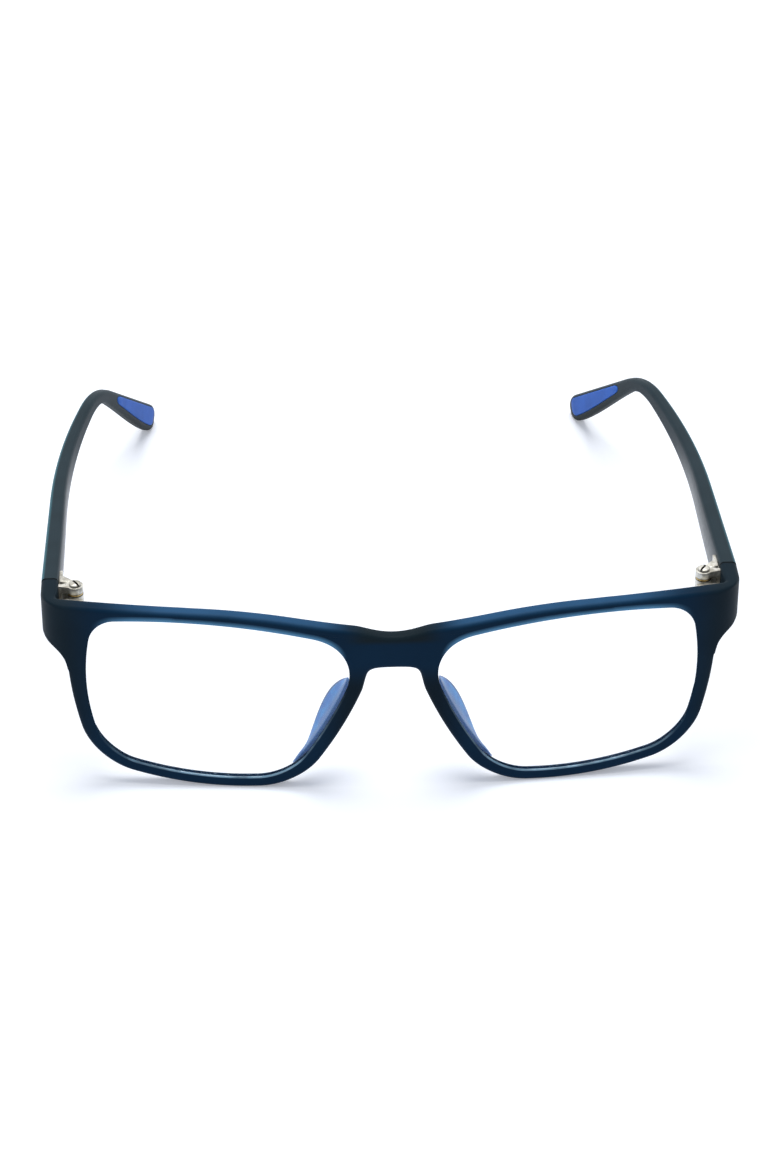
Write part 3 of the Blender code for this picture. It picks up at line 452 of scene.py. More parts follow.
def metalMaterial(name, finish, shadeMask=None):
    # the mask gives the places where painted shade lies
    mat, tree, shader = newMaterial(name)
    shader.inputs["Metallic"].default_value = finish["metallic"]
    where, wear = objectPlace(tree), metalWear
    drawn = newNode(tree, 'ShaderNodeMapping', {"Vector": where, "Scale": wear["stretch"]}).outputs[0]
    streak = noise(tree, drawn, wear["streakScale"], wear["streakDetail"])
    dull = noise(tree, where, wear["dullScale"], wear["dullDetail"])
    paint = mixColour(tree, ramp(tree, dull, *wear["dullZone"]), finish["bright"], finish["dull"])
    if shadeMask:
        paint = mixColour(tree, shadeMask(tree), paint, finish["paintedShade"])
    rough = ramp(tree, streak, *wear["streakZone"], *finish["roughness"])
    dress(tree, shader, paint, rough, wear, streak)
    return mat


lensFinish = {
    "tint": (0.985, 0.993, 1.0), "haze": (0.975, 0.99, 1.0), "edge": (0.45, 0.66, 0.95),
    "shine": (0.62, 0.78, 1.0), "clear": (0.94, 0.97, 1.0), "ior": 1.32,
    "roughness": 0.015, "edgeRoughness": 0.3,
    "hazeScale": 90.0, "hazeDetail": 2.0, "hazeZone": (0.3, 0.7, 0.0, 1.0),
}


def lensMaterial():
    # clear with a faint blue coating; the ground edge is bluer, and shadows pass through
    mat, tree, shader = newMaterial("coatedLens")
    l = lensFinish
    shader.inputs["Transmission Weight"].default_value = 1.0
    shader.inputs["IOR"].default_value = l["ior"]
    shader.inputs["Specular Tint"].default_value = (*l["shine"], 1)
    edge = attribute(tree, "edge")
    haze = ramp(tree, noise(tree, objectPlace(tree), l["hazeScale"], l["hazeDetail"]), *l["hazeZone"])
    paint = mixColour(tree, edge, mixColour(tree, haze, l["tint"], l["haze"]), l["edge"])
    rough = ramp(tree, edge, 0.0, 1.0, l["roughness"], l["edgeRoughness"], 'LINEAR')
    tree.links.new(paint, shader.inputs["Base Color"])
    tree.links.new(rough, shader.inputs["Roughness"])
    clear = newNode(tree, 'ShaderNodeBsdfTransparent', {"Color": (*l["clear"], 1)})
    rays = newNode(tree, 'ShaderNodeLightPath').outputs
    passing = calc(tree, 'MAXIMUM', rays["Is Shadow Ray"], rays["Is Diffuse Ray"])
    both = {0: passing, 1: shader.outputs[0], 2: clear.outputs[0]}
    toSurface(tree, newNode(tree, 'ShaderNodeMixShader', both))
    return mat


# where the painted shade lies: the knuckles' gaps, the stack, the slot and under the screw's head
shadeZones = {
    "gap": (0.2 * mm, 0.42 * mm, 0.95, 0.0), "stack": (1.9 * mm, 2.2 * mm, 1.0, 0.0),
    "slot": (0.0, 0.05 * mm, 0.95, 0.0), "head": (0.05 * mm, 0.2 * mm, 0.9, 0.0),
}


def fromPin(tree):
    # place seen from a hinge pin, the same on both sides
    parts = apart(tree, objectPlace(tree))
    outward = calc(tree, 'SUBTRACT', calc(tree, 'ABSOLUTE', parts["X"]), pinX)
    return outward, calc(tree, 'SUBTRACT', parts["Y"], pinY), parts["Z"]


def gapShade(tree):
    # painted shade where the knuckles meet the washers
    outward, back, rise = fromPin(tree)
    far = calc(tree, 'SQRT', calc(tree, 'ADD', times(tree, outward, outward), times(tree, back, back)))
    low, high = (calc(tree, 'ABSOLUTE', calc(tree, 'SUBTRACT', rise, sum(levels[i]) / 2)) for i in (1, 3))
    band = ramp(tree, calc(tree, 'MINIMUM', low, high), *shadeZones["gap"])
    return times(tree, band, ramp(tree, far, *shadeZones["stack"]))


def slotShade(tree):
    # painted shade inside the screw's slot and under its head
    outward, back, rise = fromPin(tree)
    turn = hinge["slotTurn"]
    off = calc(tree, 'ADD', times(tree, outward, -math.sin(turn)), times(tree, back, math.cos(turn)))
    inSlot = ramp(tree, calc(tree, 'ABSOLUTE', off), *zoneFrom(hinge["slot"] / 2, shadeZones["slot"]))
    under = ramp(tree, rise, *zoneFrom(screwSeat, shadeZones["head"]))
    return calc(tree, 'MAXIMUM', inSlot, under)


# mesh helpers

weld = 1e-7    # points nearer than this are one


def blendTo(a, b, t):
    return a + (b - a) * t


def share(value, first, run):
    return min(max((value - first) / run, 0), 1)


def steps(first, last, count, ends=False):
    return [blendTo(first, last, i / count) for i in range(count + (1 if ends else 0))]


def bezier(p0, p1, p2, p3, t):
    s = 1 - t
    return p0 * s**3 + p1 * (3 * t * s * s) + p2 * (3 * t * t * s) + p3 * t**3


def rightOf(d):
    return Vector((d.y, -d.x)).normalized()


def closedMesh(name, points, faces, **values):
    # values: one named list each, kept as attributes of the points
    bm = bmesh.new()
    layers = [bm.verts.layers.float.new(key) for key in values]
    verts = [bm.verts.new(p) for p in points]
    for layer, row in zip(layers, values.values()):
        for v, value in zip(verts, row):
            v[layer] = value
    for face in faces:
        bm.faces.new([verts[i] for i in face])
    bmesh.ops.remove_doubles(bm, verts=bm.verts, dist=weld)
    bmesh.ops.delete(bm, geom=[v for v in bm.verts if not v.link_faces], context='VERTS')
    bmesh.ops.recalc_face_normals(bm, faces=bm.faces)
    mesh = bpy.data.meshes.new(name)
    bm.to_mesh(mesh)
    bm.free()
    return mesh


def loftFaces(ringCount, count):
    faces = []
    for i in range(ringCount - 1):
        for k in range(count):
            a = i * count + k
            b = i * count + (k + 1) % count
            faces.append((a, b, b + count, a + count))
    faces.append(tuple(range(count)))
    faces.append(tuple(range((ringCount - 1) * count, ringCount * count)))
    return faces


def loft(name, rings):
    return closedMesh(name, [p for ring in rings for p in ring], loftFaces(len(rings), len(rings[0])))


def prism(name, outline, foot, top):
    return loft(name, [[Vector((x, y, z)) for x, y in outline] for z in (foot, top)])


def plainMesh(obj):
    graph = bpy.context.evaluated_depsgraph_get()
    return bpy.data.meshes.new_from_object(obj.evaluated_get(graph))


def holder(mesh):
    obj = bpy.data.objects.new("holder", mesh)
    bpy.context.scene.collection.objects.link(obj)
    return obj


def applied(mesh, kind, **settings):
    obj = holder(mesh)
    step = obj.modifiers.new("step", kind)
    for key, value in settings.items():
        setattr(step, key, value)
    result = plainMesh(obj)
    bpy.data.objects.remove(obj)
    return result


def combine(mesh, tool, operation):
    cutter = holder(tool)
    result = applied(mesh, 'BOOLEAN', operation=operation, solver='EXACT', object=cutter)
    bpy.data.objects.remove(cutter)
    return result


def softened(mesh, width):
    # small rounds on every hard edge
    return applied(mesh, 'BEVEL', width=width, segments=2, limit_method='ANGLE', angle_limit=smoothAngle)


def mirrored(mesh):
    bm = bmesh.new()
    bm.from_mesh(mesh)
    for v in bm.verts:
        v.co.x = -v.co.x
    bmesh.ops.reverse_faces(bm, faces=bm.faces)
    copy = bpy.data.meshes.new(mesh.name)
    bm.to_mesh(copy)
    bm.free()
    return copy


def addPiece(name, mesh, mat, body, slot, *nodes):
    mesh.name = name
    mesh.materials.clear()
    mesh.materials.append(mat)
    for face in mesh.polygons:
        face.material_index = 0
    mesh.shade_smooth()
    mesh.set_sharp_from_angle(angle=smoothAngle)
    obj = bpy.data.objects.new(name, mesh)
    bpy.context.scene.collection.objects.link(obj)
    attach(obj, body)
    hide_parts(*nodes)


def addPair(name, mesh, mat, body, slot, *nodes):
    # the left piece as made and its mirror image on the right
    for side, made in (("left", mesh), ("right", mirrored(mesh))):
        rides = side + "_arm" if body == "arm" else body
        addPiece(side + name, made, mat, rides, slot, *[side + "_" + node for node in nodes])


# outline of a lens opening, as x and z, with lengths along it

eye = {
    "width": 52.0 * mm, "height": 37.2 * mm, "bridgeGap": 17.3 * mm,
    "rimTop": 2.2 * mm, "rimTopNasal": 3.1 * mm, "topTaper": 0.6,
    "rimBottom": 2.5 * mm, "rimNasal": 3.1 * mm, "rimTemporal": 2.7 * mm,
    # in from the side, in from foot or top, and cut: mm
    "corners": ((12.4, 0.8, 6.0), (2.6, 5.3, 6.4), (1.0, 0.9, 4.4), (-2.4, 6.4, 10.0)),
    "bulges": (2.4, 2.6, 2.85, 1.65),    # bottom, temporal, top, nasal: mm
    "handle": 0.6, "sideSteps": 90, "cornerSteps": 48,
    "footFlat": 0.12 * mm, "probe": 0.4 * mm,
}


def eyeSide(start, end, bulge):
    a, cutA = start
    b, cutB = end
    run = (b - a).length
    out = rightOf(b - a)
    return [a.lerp(b, t) + out * (bulge * 4 * t * (1 - t))
            for t in steps(cutA / run, 1 - cutB / run, eye["sideSteps"], True)]


def eyeCorner(side, following, cut):
    leave = (side[-1] - side[-2]).normalized() * (eye["handle"] * cut)
    arrive = (following[1] - following[0]).normalized() * (eye["handle"] * cut)
    curve = (side[-1], side[-1] + leave, following[0] - arrive, following[0])
    return [bezier(*curve, t) for t in steps(0, 1, eye["cornerSteps"])[1:]]


def eyeOutline():
    nasal = eye["bridgeGap"] / 2
    temporal = nasal + eye["width"]
    foot = eye["rimBottom"]
    top = foot + eye["height"]
    ends = ((nasal, 1, foot, 1), (temporal, -1, foot, 1), (temporal, -1, top, -1), (nasal, 1, top, -1))
    corners = [(Vector((x + a * inX * mm, z + b * inZ * mm)), cut * mm)
               for (x, inX, z, inZ), (a, b, cut) in zip(ends, eye["corners"])]
    sides = [eyeSide(corners[i], corners[(i + 1) % 4], eye["bulges"][i] * mm) for i in range(4)]
    points, marks, lengths = [], [], [0.0]
    for i, side in enumerate(sides):
        start = len(points)
        points += side
        points += eyeCorner(side, sides[(i + 1) % 4], corners[(i + 1) % 4][1])
        marks.append((start, start + len(side) - 1))
    for a, b in zip(points, points[1:] + points[:1]):
        lengths.append(lengths[-1] + (b - a).length)
    half = eye["cornerSteps"] // 2
    line = {"points": points, "lengths": lengths, "total": lengths[-1], "foot": foot, "top": top,
            "temporal": temporal, "nasalTop": corners[3][0]}

    def lengthTo(index):
        turns, i = divmod(index, len(points))
        return lengths[i] + turns * line["total"]

    line["marks"] = [(lengthTo(a - half), lengthTo(b + half)) for a, b in marks]
    return line


line = eyeOutline()


def eyeAt(s):
    s %= line["total"]
    points, lengths = line["points"], line["lengths"]
    i = min(bisect.bisect_right(lengths, s), len(points)) - 1
    t = (s - lengths[i]) / (lengths[i + 1] - lengths[i])
    return points[i].lerp(points[(i + 1) % len(points)], t)


def eyeNormal(s):
    return rightOf(eyeAt(s + eye["probe"]) - eyeAt(s - eye["probe"]))


def rimEdge(s):
    n = eyeNormal(s)
    across = (eyeAt(s).x - eye["bridgeGap"] / 2) / eye["width"]
    top = blendTo(eye["rimTopNasal"], eye["rimTop"], share(across, 0, eye["topTaper"]))
    side = eye["rimTemporal"] if n.x > 0 else eye["rimNasal"]
    upright = top if n.y > 0 else eye["rimBottom"] + eye["footFlat"]
    return eyeAt(s) + n * (side * n.x**2 + upright * n.y**2)


def findEdge(mark, axis, value):
    low, high = line["marks"][mark]
    rising = rimEdge(high)[axis] > rimEdge(low)[axis]
    for _ in range(40):
        mid = (low + high) / 2
        if (rimEdge(mid)[axis] < value) == rising:
            low = mid
        else:
            high = mid
    return low


# the front: rims, bridge and end pieces as one moulding

front = {
    "depth": 3.0 * mm, "wrap": 410 * mm, "edgeRound": 1.0 * mm, "backRound": 0.8 * mm, "lipRound": 0.32 * mm,
    "browLip": 1.35 * mm, "browLipDeep": 0.42 * mm, "browTurn": (0.35, 0.4),
    "browSill": 0.15 * mm, "templeSill": 0.33 * mm, "noseSill": 0.12 * mm,
    "bevelWidth": 1.1 * mm, "bevelDepth": 1.2 * mm, "bridgeHeight": 7.35 * mm, "bridgeRise": 2.95 * mm,
    "wallShares": (0.55, 0.5, 0.4, 0.5),    # most of the wall that lip, fore, back and bevel may take
    "shoulder": 12.0 * mm, "knee": (8.0 * mm, 1.6 * mm), "kneeSlope": 0.13, "kneeFull": 2.2 * mm,
    "kneeShare": 0.6, "crestFull": 3.6 * mm, "archDrop": 5.0 * mm, "archFull": 0.94,
    "flareDrop": 13.7 * mm, "flareRadius": 6.5 * mm, "flareLead": 11.0 * mm, "flareFull": 0.6 * mm,
    "flareHandles": (0.5, 0.6), "flareProbe": 0.2 * mm,
    "cornerRun": 18.0 * mm, "cornerRise": 0.5 * mm,
    "turnRadius": 6.4 * mm, "returnLength": 3.9 * mm, "endDepth": 3.4 * mm, "turnPower": (2, 4),
    "grooveAt": 1.1 * mm, "grooveDepth": 0.9 * mm, "grooveWidth": 1.3 * mm,
    "endShare": 0.62, "bridgeShare": 0.3, "seamKeep": 1.3 * mm,
    "faceSteps": ((0.3, 0.2), (0.7, 0.45), (1.2, 0.65)), "lipSteps": ((0.5, 0.2), (0.2, 0.09)),
    "sheenTurn": (0.45, 0.4), "sheenRise": (0.1, 2.0), "lipTurn": (0.35, 0.4), "browHighlightPower": 1.2,
    "rimSteps": 170, "endSteps": 30, "topCornerSteps": 30, "topSteps": 44, "shoulderSteps": 22,
    "bridgeSteps": 12, "archSteps": 26, "flareSteps": 16, "turnSteps": 14, "arcSteps": 5,
}
temporalSide, topSide, nasalSide = 1, 2, 3
flareAt = findEdge(temporalSide, 1, line["top"] - front["flareDrop"])
topLeavesEnd = findEdge(topSide, 0, line["temporal"] - front["cornerRun"])
topLeavesBridge = findEdge(topSide, 0, eye["bridgeGap"] / 2 + front["shoulder"])
bridgeTop = line["nasalTop"].y + front["bridgeRise"]
archTop = bridgeTop - front["bridgeHeight"]
noseLeavesArch = findEdge(nasalSide, 1, archTop - front["archDrop"])
flareStart = rimEdge(flareAt)
endTop = rimEdge(topLeavesEnd).y + front["cornerRise"]
endFoot = flareStart.y + front["flareRadius"]
turnFrom = flareStart.x
turnAngle = turnFrom / front["wrap"]
turnTo = turnFrom + front["turnRadius"] * (math.pi / 2 - turnAngle)
returnTo = turnTo + front["returnLength"]


def place(u, z, w):
    # u round the front, z up, w behind the face
    wrap = front["wrap"]
    z -= eye["footFlat"]
    if u <= turnFrom:
        r = wrap - w
        return Vector((r * math.sin(u / wrap), frontY + wrap - r * math.cos(u / wrap), z))
    centre = wrap - front["turnRadius"]
    turned = min(u - turnFrom, turnTo - turnFrom)
    a = turnAngle + turned / front["turnRadius"]
    part = turned / (turnTo - turnFrom)
    r = front["turnRadius"] - w * blendTo(1, front["endDepth"] / front["depth"], part)
    outer, more = front["turnPower"]
    power = outer + more * w / front["depth"]    # squarer on the inside
    r /= (math.cos(part * math.pi / 2)**power + math.sin(part * math.pi / 2)**power)**(1 / power)
    x = centre * math.sin(turnAngle) + r * math.sin(a)
    y = wrap - centre * math.cos(turnAngle) - r * math.cos(a) + max(0.0, u - turnTo)
    return Vector((x, frontY + y, z))


joint = place(returnTo, endTop, 0)


def quarter(count):
    return [(1 - math.sin(a), 1 - math.cos(a)) for a in steps(0, math.pi / 2, count, True)]


def section(station):
    # groove wall first, then the outer edge, as points in the face and depths
    depth, n = front["depth"], front["arcSteps"]
    wall = (station["edge"] - station["eye"]).length
    out = station["out"]
    high = share(out.y, *front["browTurn"])
    most = [part * wall for part in front["wallShares"]]
    lip = min(blendTo(front["lipRound"], front["browLip"], high), most[0])
    lipDeep = blendTo(front["lipRound"], front["browLipDeep"], high)
    side = front["templeSill"] if out.x > 0 else front["noseSill"]
    sill = side * out.x**2 + front["browSill"] * max(out.y, 0)**2    # overhangs the lens's edge
    fore = min(front["edgeRound"], most[1])
    back = min(front["backRound"], most[2])
    bevel = min(front["bevelWidth"], most[3])
    half, groove = front["grooveWidth"] / 2, front["grooveAt"]
    inner = [(lip * a - sill, lipDeep * b) for a, b in quarter(n)]
    inner += [(0, groove - half), (front["grooveDepth"], groove), (0, groove + half)]
    inner += [(bevel * t, depth - front["bevelDepth"] * (1 - t)) for t in steps(0, 1, n, True)]
    outer = [(back * a, depth - back * b) for a, b in quarter(n)]
    outer += [(fore * a, fore * b) for a, b in reversed(quarter(n))]
    if station["seam"]:
        outer = [(0, depth)] * (len(outer) - 1) + [(0, 0)]
    points = [(station["eye"] + out * q, w) for q, w in inner]
    points += [(station["edge"] + station["inward"] * q, w) for q, w in outer]
    start, end = points[-1][0], points[0][0]
    face = (end - start).length / mm
    shares = [min(d / face, most) for d, most in front["faceSteps"]]
    shares += [1 - min(d / face, most) for d, most in front["lipSteps"]]
    return points + [(start.lerp(end, t), 0) for t in shares]


innerCount = 2 * (front["arcSteps"] + 1) + 3
outerEnd = innerCount + 2 * (front["arcSteps"] + 1)
sectionCount = outerEnd + len(front["faceSteps"]) + len(front["lipSteps"])


def stationAt(s, edge, inward, seam=False):
    return {"eye": eyeAt(s), "out": eyeNormal(s), "edge": edge, "inward": inward, "seam": seam}


def curveHeading(curve, t, probe=0.01):
    return bezier(*curve, min(1.0, t + probe)) - bezier(*curve, max(0.0, t - probe))


def rimStations(first, last, count):
    return [stationAt(s, rimEdge(s), -eyeNormal(s)) for s in steps(first, last, count)]


def curveStations(first, last, curve, count):
    made = []
    for t in steps(0, 1, count):
        inward = -rightOf(curveHeading(curve, t))
        made.append(stationAt(blendTo(first, last, t), bezier(*curve, t), inward))
    return made


def seamShares(start, end, count):
    # kept clear of the rounded edges at both ends
    keep = front["seamKeep"] / (end - start).length
    return steps(keep, 1 - keep, count - 2, True)


def seamStations(first, last, start, end, count):
    return [stationAt(s, start.lerp(end, t), Vector((0, 0)), True)
            for s, t in zip(steps(first, last, count)[1:], seamShares(start, end, count))]


def flareEdge(s):
    # the rim's edge widens a little before the end piece leaves it
    near = max(0.0, 1 - (flareAt - s) / front["flareLead"])
    return rimEdge(s) + Vector((front["flareFull"] * near**2, 0))


def frontStations():
    up = Vector((0, 1))
    toEnd = blendTo(flareAt, topLeavesEnd, front["endShare"])
    toBridge = blendTo(topLeavesBridge, noseLeavesArch, front["bridgeShare"])
    toArch = blendTo(topLeavesBridge, noseLeavesArch, 1 - front["bridgeShare"])

    around = steps(noseLeavesArch - line["total"], flareAt, front["rimSteps"])
    made = [stationAt(s, flareEdge(s), -eyeNormal(s)) for s in around]
    endFrom = len(made)
    endLow = flareEdge(flareAt)
    endHigh = Vector((turnFrom, endTop))
    made.append(stationAt(flareAt, endLow, -eyeNormal(flareAt)))
    made += seamStations(flareAt, toEnd, endLow, endHigh, front["endSteps"])
    endTo = len(made)
    topEnd = rimEdge(topLeavesEnd)
    third = (topEnd - endHigh) / 3
    lead = (rimEdge(topLeavesEnd - mm) - topEnd).normalized() * third.length
    corner = (endHigh, endHigh + third, topEnd + lead, topEnd)
    made += curveStations(toEnd, topLeavesEnd, corner, front["topCornerSteps"])
    made[endTo]["inward"] = -up

    made += rimStations(topLeavesEnd, topLeavesBridge, front["topSteps"])
    leave = rimEdge(topLeavesBridge)
    heading = (rimEdge(topLeavesBridge + mm) - leave).normalized()
    crest = Vector((0, bridgeTop))
    knee = crest + Vector(front["knee"])
    dip = Vector((-1, -front["kneeSlope"])).normalized()
    third = (knee - leave).length / 3
    brow = (leave, leave + heading * third, knee - dip * third, knee)
    valley = (knee, knee + dip * front["kneeFull"], crest + Vector((front["crestFull"], 0)), crest)
    toKnee = blendTo(topLeavesBridge, toBridge, front["kneeShare"])
    made += curveStations(topLeavesBridge, toKnee, brow, front["shoulderSteps"])
    made += curveStations(toKnee, toBridge, valley, front["shoulderSteps"])
    bridgeFrom = len(made)
    made.append(stationAt(toBridge, crest, -up))
    arch = Vector((0, archTop))
    made += seamStations(toBridge, toArch, crest, arch, front["bridgeSteps"])
    bridgeTo = len(made)
    noseEdge = rimEdge(noseLeavesArch)
    noseRise = (rimEdge(noseLeavesArch - mm) - noseEdge).normalized()
    turn = (arch, arch + Vector((front["archFull"] * noseEdge.x, 0)),
            noseEdge + noseRise * (front["archFull"] * front["archDrop"]), noseEdge)
    made += curveStations(toArch, noseLeavesArch, turn, front["archSteps"])
    made[bridgeTo]["inward"] = up
    return made, (endFrom, endTo), (bridgeFrom, bridgeTo)


def endSections():
    # lower edge, its normal and the upper edge's place, from the rim back to the joint
    made = []
    radius = front["flareRadius"]
    leave, arrive = (radius * part for part in front["flareHandles"])
    low, foot = flareEdge(flareAt), Vector((turnFrom + radius, endFoot))
    rise = (low - flareEdge(flareAt - front["flareProbe"])).normalized()
    flare = (low, low + rise * leave, foot - Vector((arrive, 0)), foot)
    for t in steps(0, 1, front["flareSteps"], True)[1:]:
        made.append((bezier(*flare, t), -rightOf(curveHeading(flare, t)), turnFrom + radius * t))
    for u in steps(foot.x, turnTo, front["turnSteps"], True)[1:] + [returnTo]:
        made.append((Vector((u, endFoot)), Vector((0, 1)), u))
    return made


def edgeOffsets(station, indices):
    points = section(station)
    return [((points[k][0] - station["edge"]).length, points[k][1]) for k in indices]


def frontMesh():
    stations, endSeam, bridgeSeam = frontStations()
    points, glow, lip, highlightBand, faces = [], [], [], [], []
    count = len(stations)
    arc = steps(0, 1, front["arcSteps"], True)
    # masks for painted light: glow is a painted reflection on the top bars' lower lips, lip carries the coat
    # and a painted highlight on the bottom lips, and the band is a painted highlight on the brows' tops
    least, rise = front["sheenRise"]
    browHighlightValues = [0.0] * innerCount + arc + [(1 - t)**front["browHighlightPower"] for t in arc]
    browHighlightValues += [0.0] * (sectionCount - outerEnd)
    sheenValues = [min(1.0, least + rise * t) for t in arc] + [1.0] * (innerCount - len(arc))
    sheenValues += [0.0] * (sectionCount - innerCount)
    for station in stations:
        under = share(station["out"].y, *front["sheenTurn"])
        over = share(-station["out"].y, *front["lipTurn"])
        for k, (p, w) in enumerate(section(station)):
            points.append(place(p.x, max(p.y, eye["footFlat"]), w))
            glow.append(under * sheenValues[k])
            lip.append(over if 0 < k <= front["arcSteps"] else 0.0)
            highlightBand.append(0.0 if station["seam"] else browHighlightValues[k])
    for i in range(count):
        onSeam = any(a <= i < b for a, b in (endSeam, bridgeSeam))
        here, there = i * sectionCount, (i + 1) % count * sectionCount
        for k in range(sectionCount):
            if onSeam and innerCount <= k < outerEnd - 1:
                continue
            n = (k + 1) % sectionCount
            faces.append((here + k, there + k, there + n, here + n))

    first, last = endSeam
    outer = list(range(innerCount, outerEnd))
    between = range(first + 1, last)
    ring = [first * sectionCount + k for k in reversed(outer)]
    ring += [i * sectionCount + innerCount for i in between]
    ring += [last * sectionCount + k for k in outer]
    ring += [i * sectionCount + outerEnd - 1 for i in reversed(between)]
    lowEdge = edgeOffsets(stations[first], reversed(outer))
    highEdge = edgeOffsets(stations[last], outer)
    for low, lowNormal, topU in endSections():
        high = Vector((topU, endTop))
        shares = seamShares(low, high, last - first)
        loop = [(low + lowNormal * q, w) for q, w in lowEdge]
        loop += [(low.lerp(high, t), front["depth"]) for t in shares]
        loop += [(high - Vector((0, q)), w) for q, w in highEdge]
        loop += [(low.lerp(high, t), 0) for t in reversed(shares)]
        fresh = list(range(len(points), len(points) + len(loop)))
        points += [place(p.x, p.y, w) for p, w in loop]
        for values in (glow, lip, highlightBand):
            values += [0.0] * len(loop)
        for k in range(len(ring)):
            n = (k + 1) % len(ring)
            faces.append((ring[k], ring[n], fresh[n], fresh[k]))
        ring = fresh
    faces.append(tuple(ring))
    half = len(points)
    points += [Vector((-p.x, p.y, p.z)) for p in points]
    faces += [tuple(half + i for i in reversed(face)) for face in faces]
    return closedMesh("front", points, faces, glow=2 * glow, lip=2 * lip, outer=2 * highlightBand)


# hinges

hinge = {
    "offset": 3.3 * mm, "ahead": 0.9 * mm, "raise": 0.9 * mm,
    "knuckleRadius": 1.6 * mm, "outerKnuckle": 1.5 * mm, "middleKnuckle": 2.1 * mm,
    "washer": 0.3 * mm, "washerShare": 0.98, "ringRound": 0.16 * mm, "ringShare": 0.3,
    "gap": 0.06 * mm, "pinRadius": 0.7 * mm, "boreGap": 0.04 * mm, "holeGap": 0.08 * mm,
    "headRadius": 1.2 * mm, "headHeight": 0.65 * mm, "headEdge": 0.1 * mm,
    "crownFrom": 0.45, "crownArc": 70 * deg, "crownSteps": 7,
    "slot": 0.42 * mm, "slotTurn": 55 * deg, "slotFloor": 0.35, "tail": 0.3 * mm, "tailShare": 0.7,
    "leaf": 1.1 * mm, "sunk": 0.5 * mm, "plateLength": 5.0 * mm, "plateHeight": 4.4 * mm,
    "setback": 0.5 * mm, "footWidth": 3.0 * mm, "footGap": 0.25 * mm, "footTop": 3.8 * mm,
    "overlap": 0.6 * mm, "gusset": 2.6 * mm, "armWidth": 0.5 * mm, "armLap": 0.1 * mm,
    "lugLength": 2.2 * mm, "lugClear": 0.12 * mm, "lugLap": 0.2 * mm, "lugDrop": 0.15 * mm,
    # from angle, to angle, steps, both ends
    "lowerArc": (40 * deg, 180 * deg, 24, True), "upperArc": (40 * deg, 320 * deg, 48, True),
    "middleArc": (140 * deg, 365 * deg, 36, True), "lugArc": (82 * deg, 38 * deg, 8, True),
    "jointGap": 0.15 * mm, "bevel": 0.12 * mm, "screwBevel": 0.04 * mm, "sides": 64,
}
pinX = joint.x - front["endDepth"] - hinge["offset"]
pinY = joint.y - hinge["ahead"]
stackHeight = 2 * (hinge["outerKnuckle"] + hinge["washer"]) + hinge["middleKnuckle"] + 4 * hinge["gap"]
hingeFoot = (endTop + endFoot) / 2 + hinge["raise"] - stackHeight / 2 - eye["footFlat"]
hingeTop = hingeFoot + stackHeight
leafFace = hinge["offset"] - hinge["leaf"] + hinge["sunk"]
leafBack = hinge["offset"] + hinge["sunk"]


def hingeLevels():
    levels = []
    z = hingeFoot
    for name in ("outerKnuckle", "washer", "middleKnuckle", "washer", "outerKnuckle"):
        levels.append((z, z + hinge[name]))
        z += hinge[name] + hinge["gap"]
    return levels


levels = hingeLevels()
screwSeat = levels[4][1] + hinge["gap"]


def paintedOut(tree, made, material):
    painted = newNode(tree, 'GeometryNodeSetMaterial', {"Geometry": made.outputs[0], "Material": material})
    newNode(tree, 'NodeGroupOutput', {0: painted.outputs[0]})


def ringTree():
    # rounded rings in a row, for the washers
    tree = bpy.data.node_groups.new("ringRow", 'GeometryNodeTree')
    addSockets(tree, 'INPUT', "Float", "Outer Radius", "Inner Radius", "Height", "Edge Round", "Pitch")
    addSockets(tree, 'INPUT', "Int", "Count", "Sides")
    addSockets(tree, 'INPUT', "Vector", "Place")
    addSockets(tree, 'INPUT', "Material", "Material")
    addSockets(tree, 'OUTPUT', "Geometry", "Geometry")
    given = newNode(tree, 'NodeGroupInput').outputs
    wide = calc(tree, 'SUBTRACT', given["Outer Radius"], given["Inner Radius"])
    mid = times(tree, calc(tree, 'ADD', given["Outer Radius"], given["Inner Radius"]), 0.5)
    path = newNode(tree, 'GeometryNodeCurvePrimitiveCircle', {"Resolution": given["Sides"], "Radius": mid})
    box = newNode(tree, 'GeometryNodeCurvePrimitiveQuadrilateral', {"Width": wide, "Height": given["Height"]})
    soft = newNode(tree, 'GeometryNodeFilletCurve', {"Curve": box.outputs[0], "Radius": given["Edge Round"],
                                                     "Count": 3}, mode='POLY')
    tube = newNode(tree, 'GeometryNodeCurveToMesh', {"Curve": path.outputs[0],
                                                     "Profile Curve": soft.outputs[0]})
    step = newNode(tree, 'ShaderNodeCombineXYZ', {"Z": given["Pitch"]})
    row = newNode(tree, 'GeometryNodeMeshLine', {"Count": given["Count"], "Start Location": given["Place"],
                                                 "Offset": step.outputs[0]})
    copies = newNode(tree, 'GeometryNodeInstanceOnPoints', {"Points": row.outputs[0],
                                                            "Instance": tube.outputs[0]})
    paintedOut(tree, newNode(tree, 'GeometryNodeRealizeInstances', {0: copies.outputs[0]}), given["Material"])
    return tree


def grow(tree, data, values):
    # runs a node tree on some starting data and keeps the plain mesh
    obj = holder(data)
    mod = obj.modifiers.new("grow", 'NODES')
    mod.node_group = tree
    for item in tree.interface.items_tree:
        if item.item_type == 'SOCKET' and item.in_out == 'INPUT' and item.name in values:
            mod[item.identifier] = values[item.name]
    mesh = plainMesh(obj)
    bpy.data.objects.remove(obj)
    bm = bmesh.new()
    bm.from_mesh(mesh)
    bmesh.ops.remove_doubles(bm, verts=bm.verts, dist=weld)
    bmesh.ops.recalc_face_normals(bm, faces=bm.faces)
    bm.to_mesh(mesh)
    bm.free()
    return mesh


ringRow = ringTree()


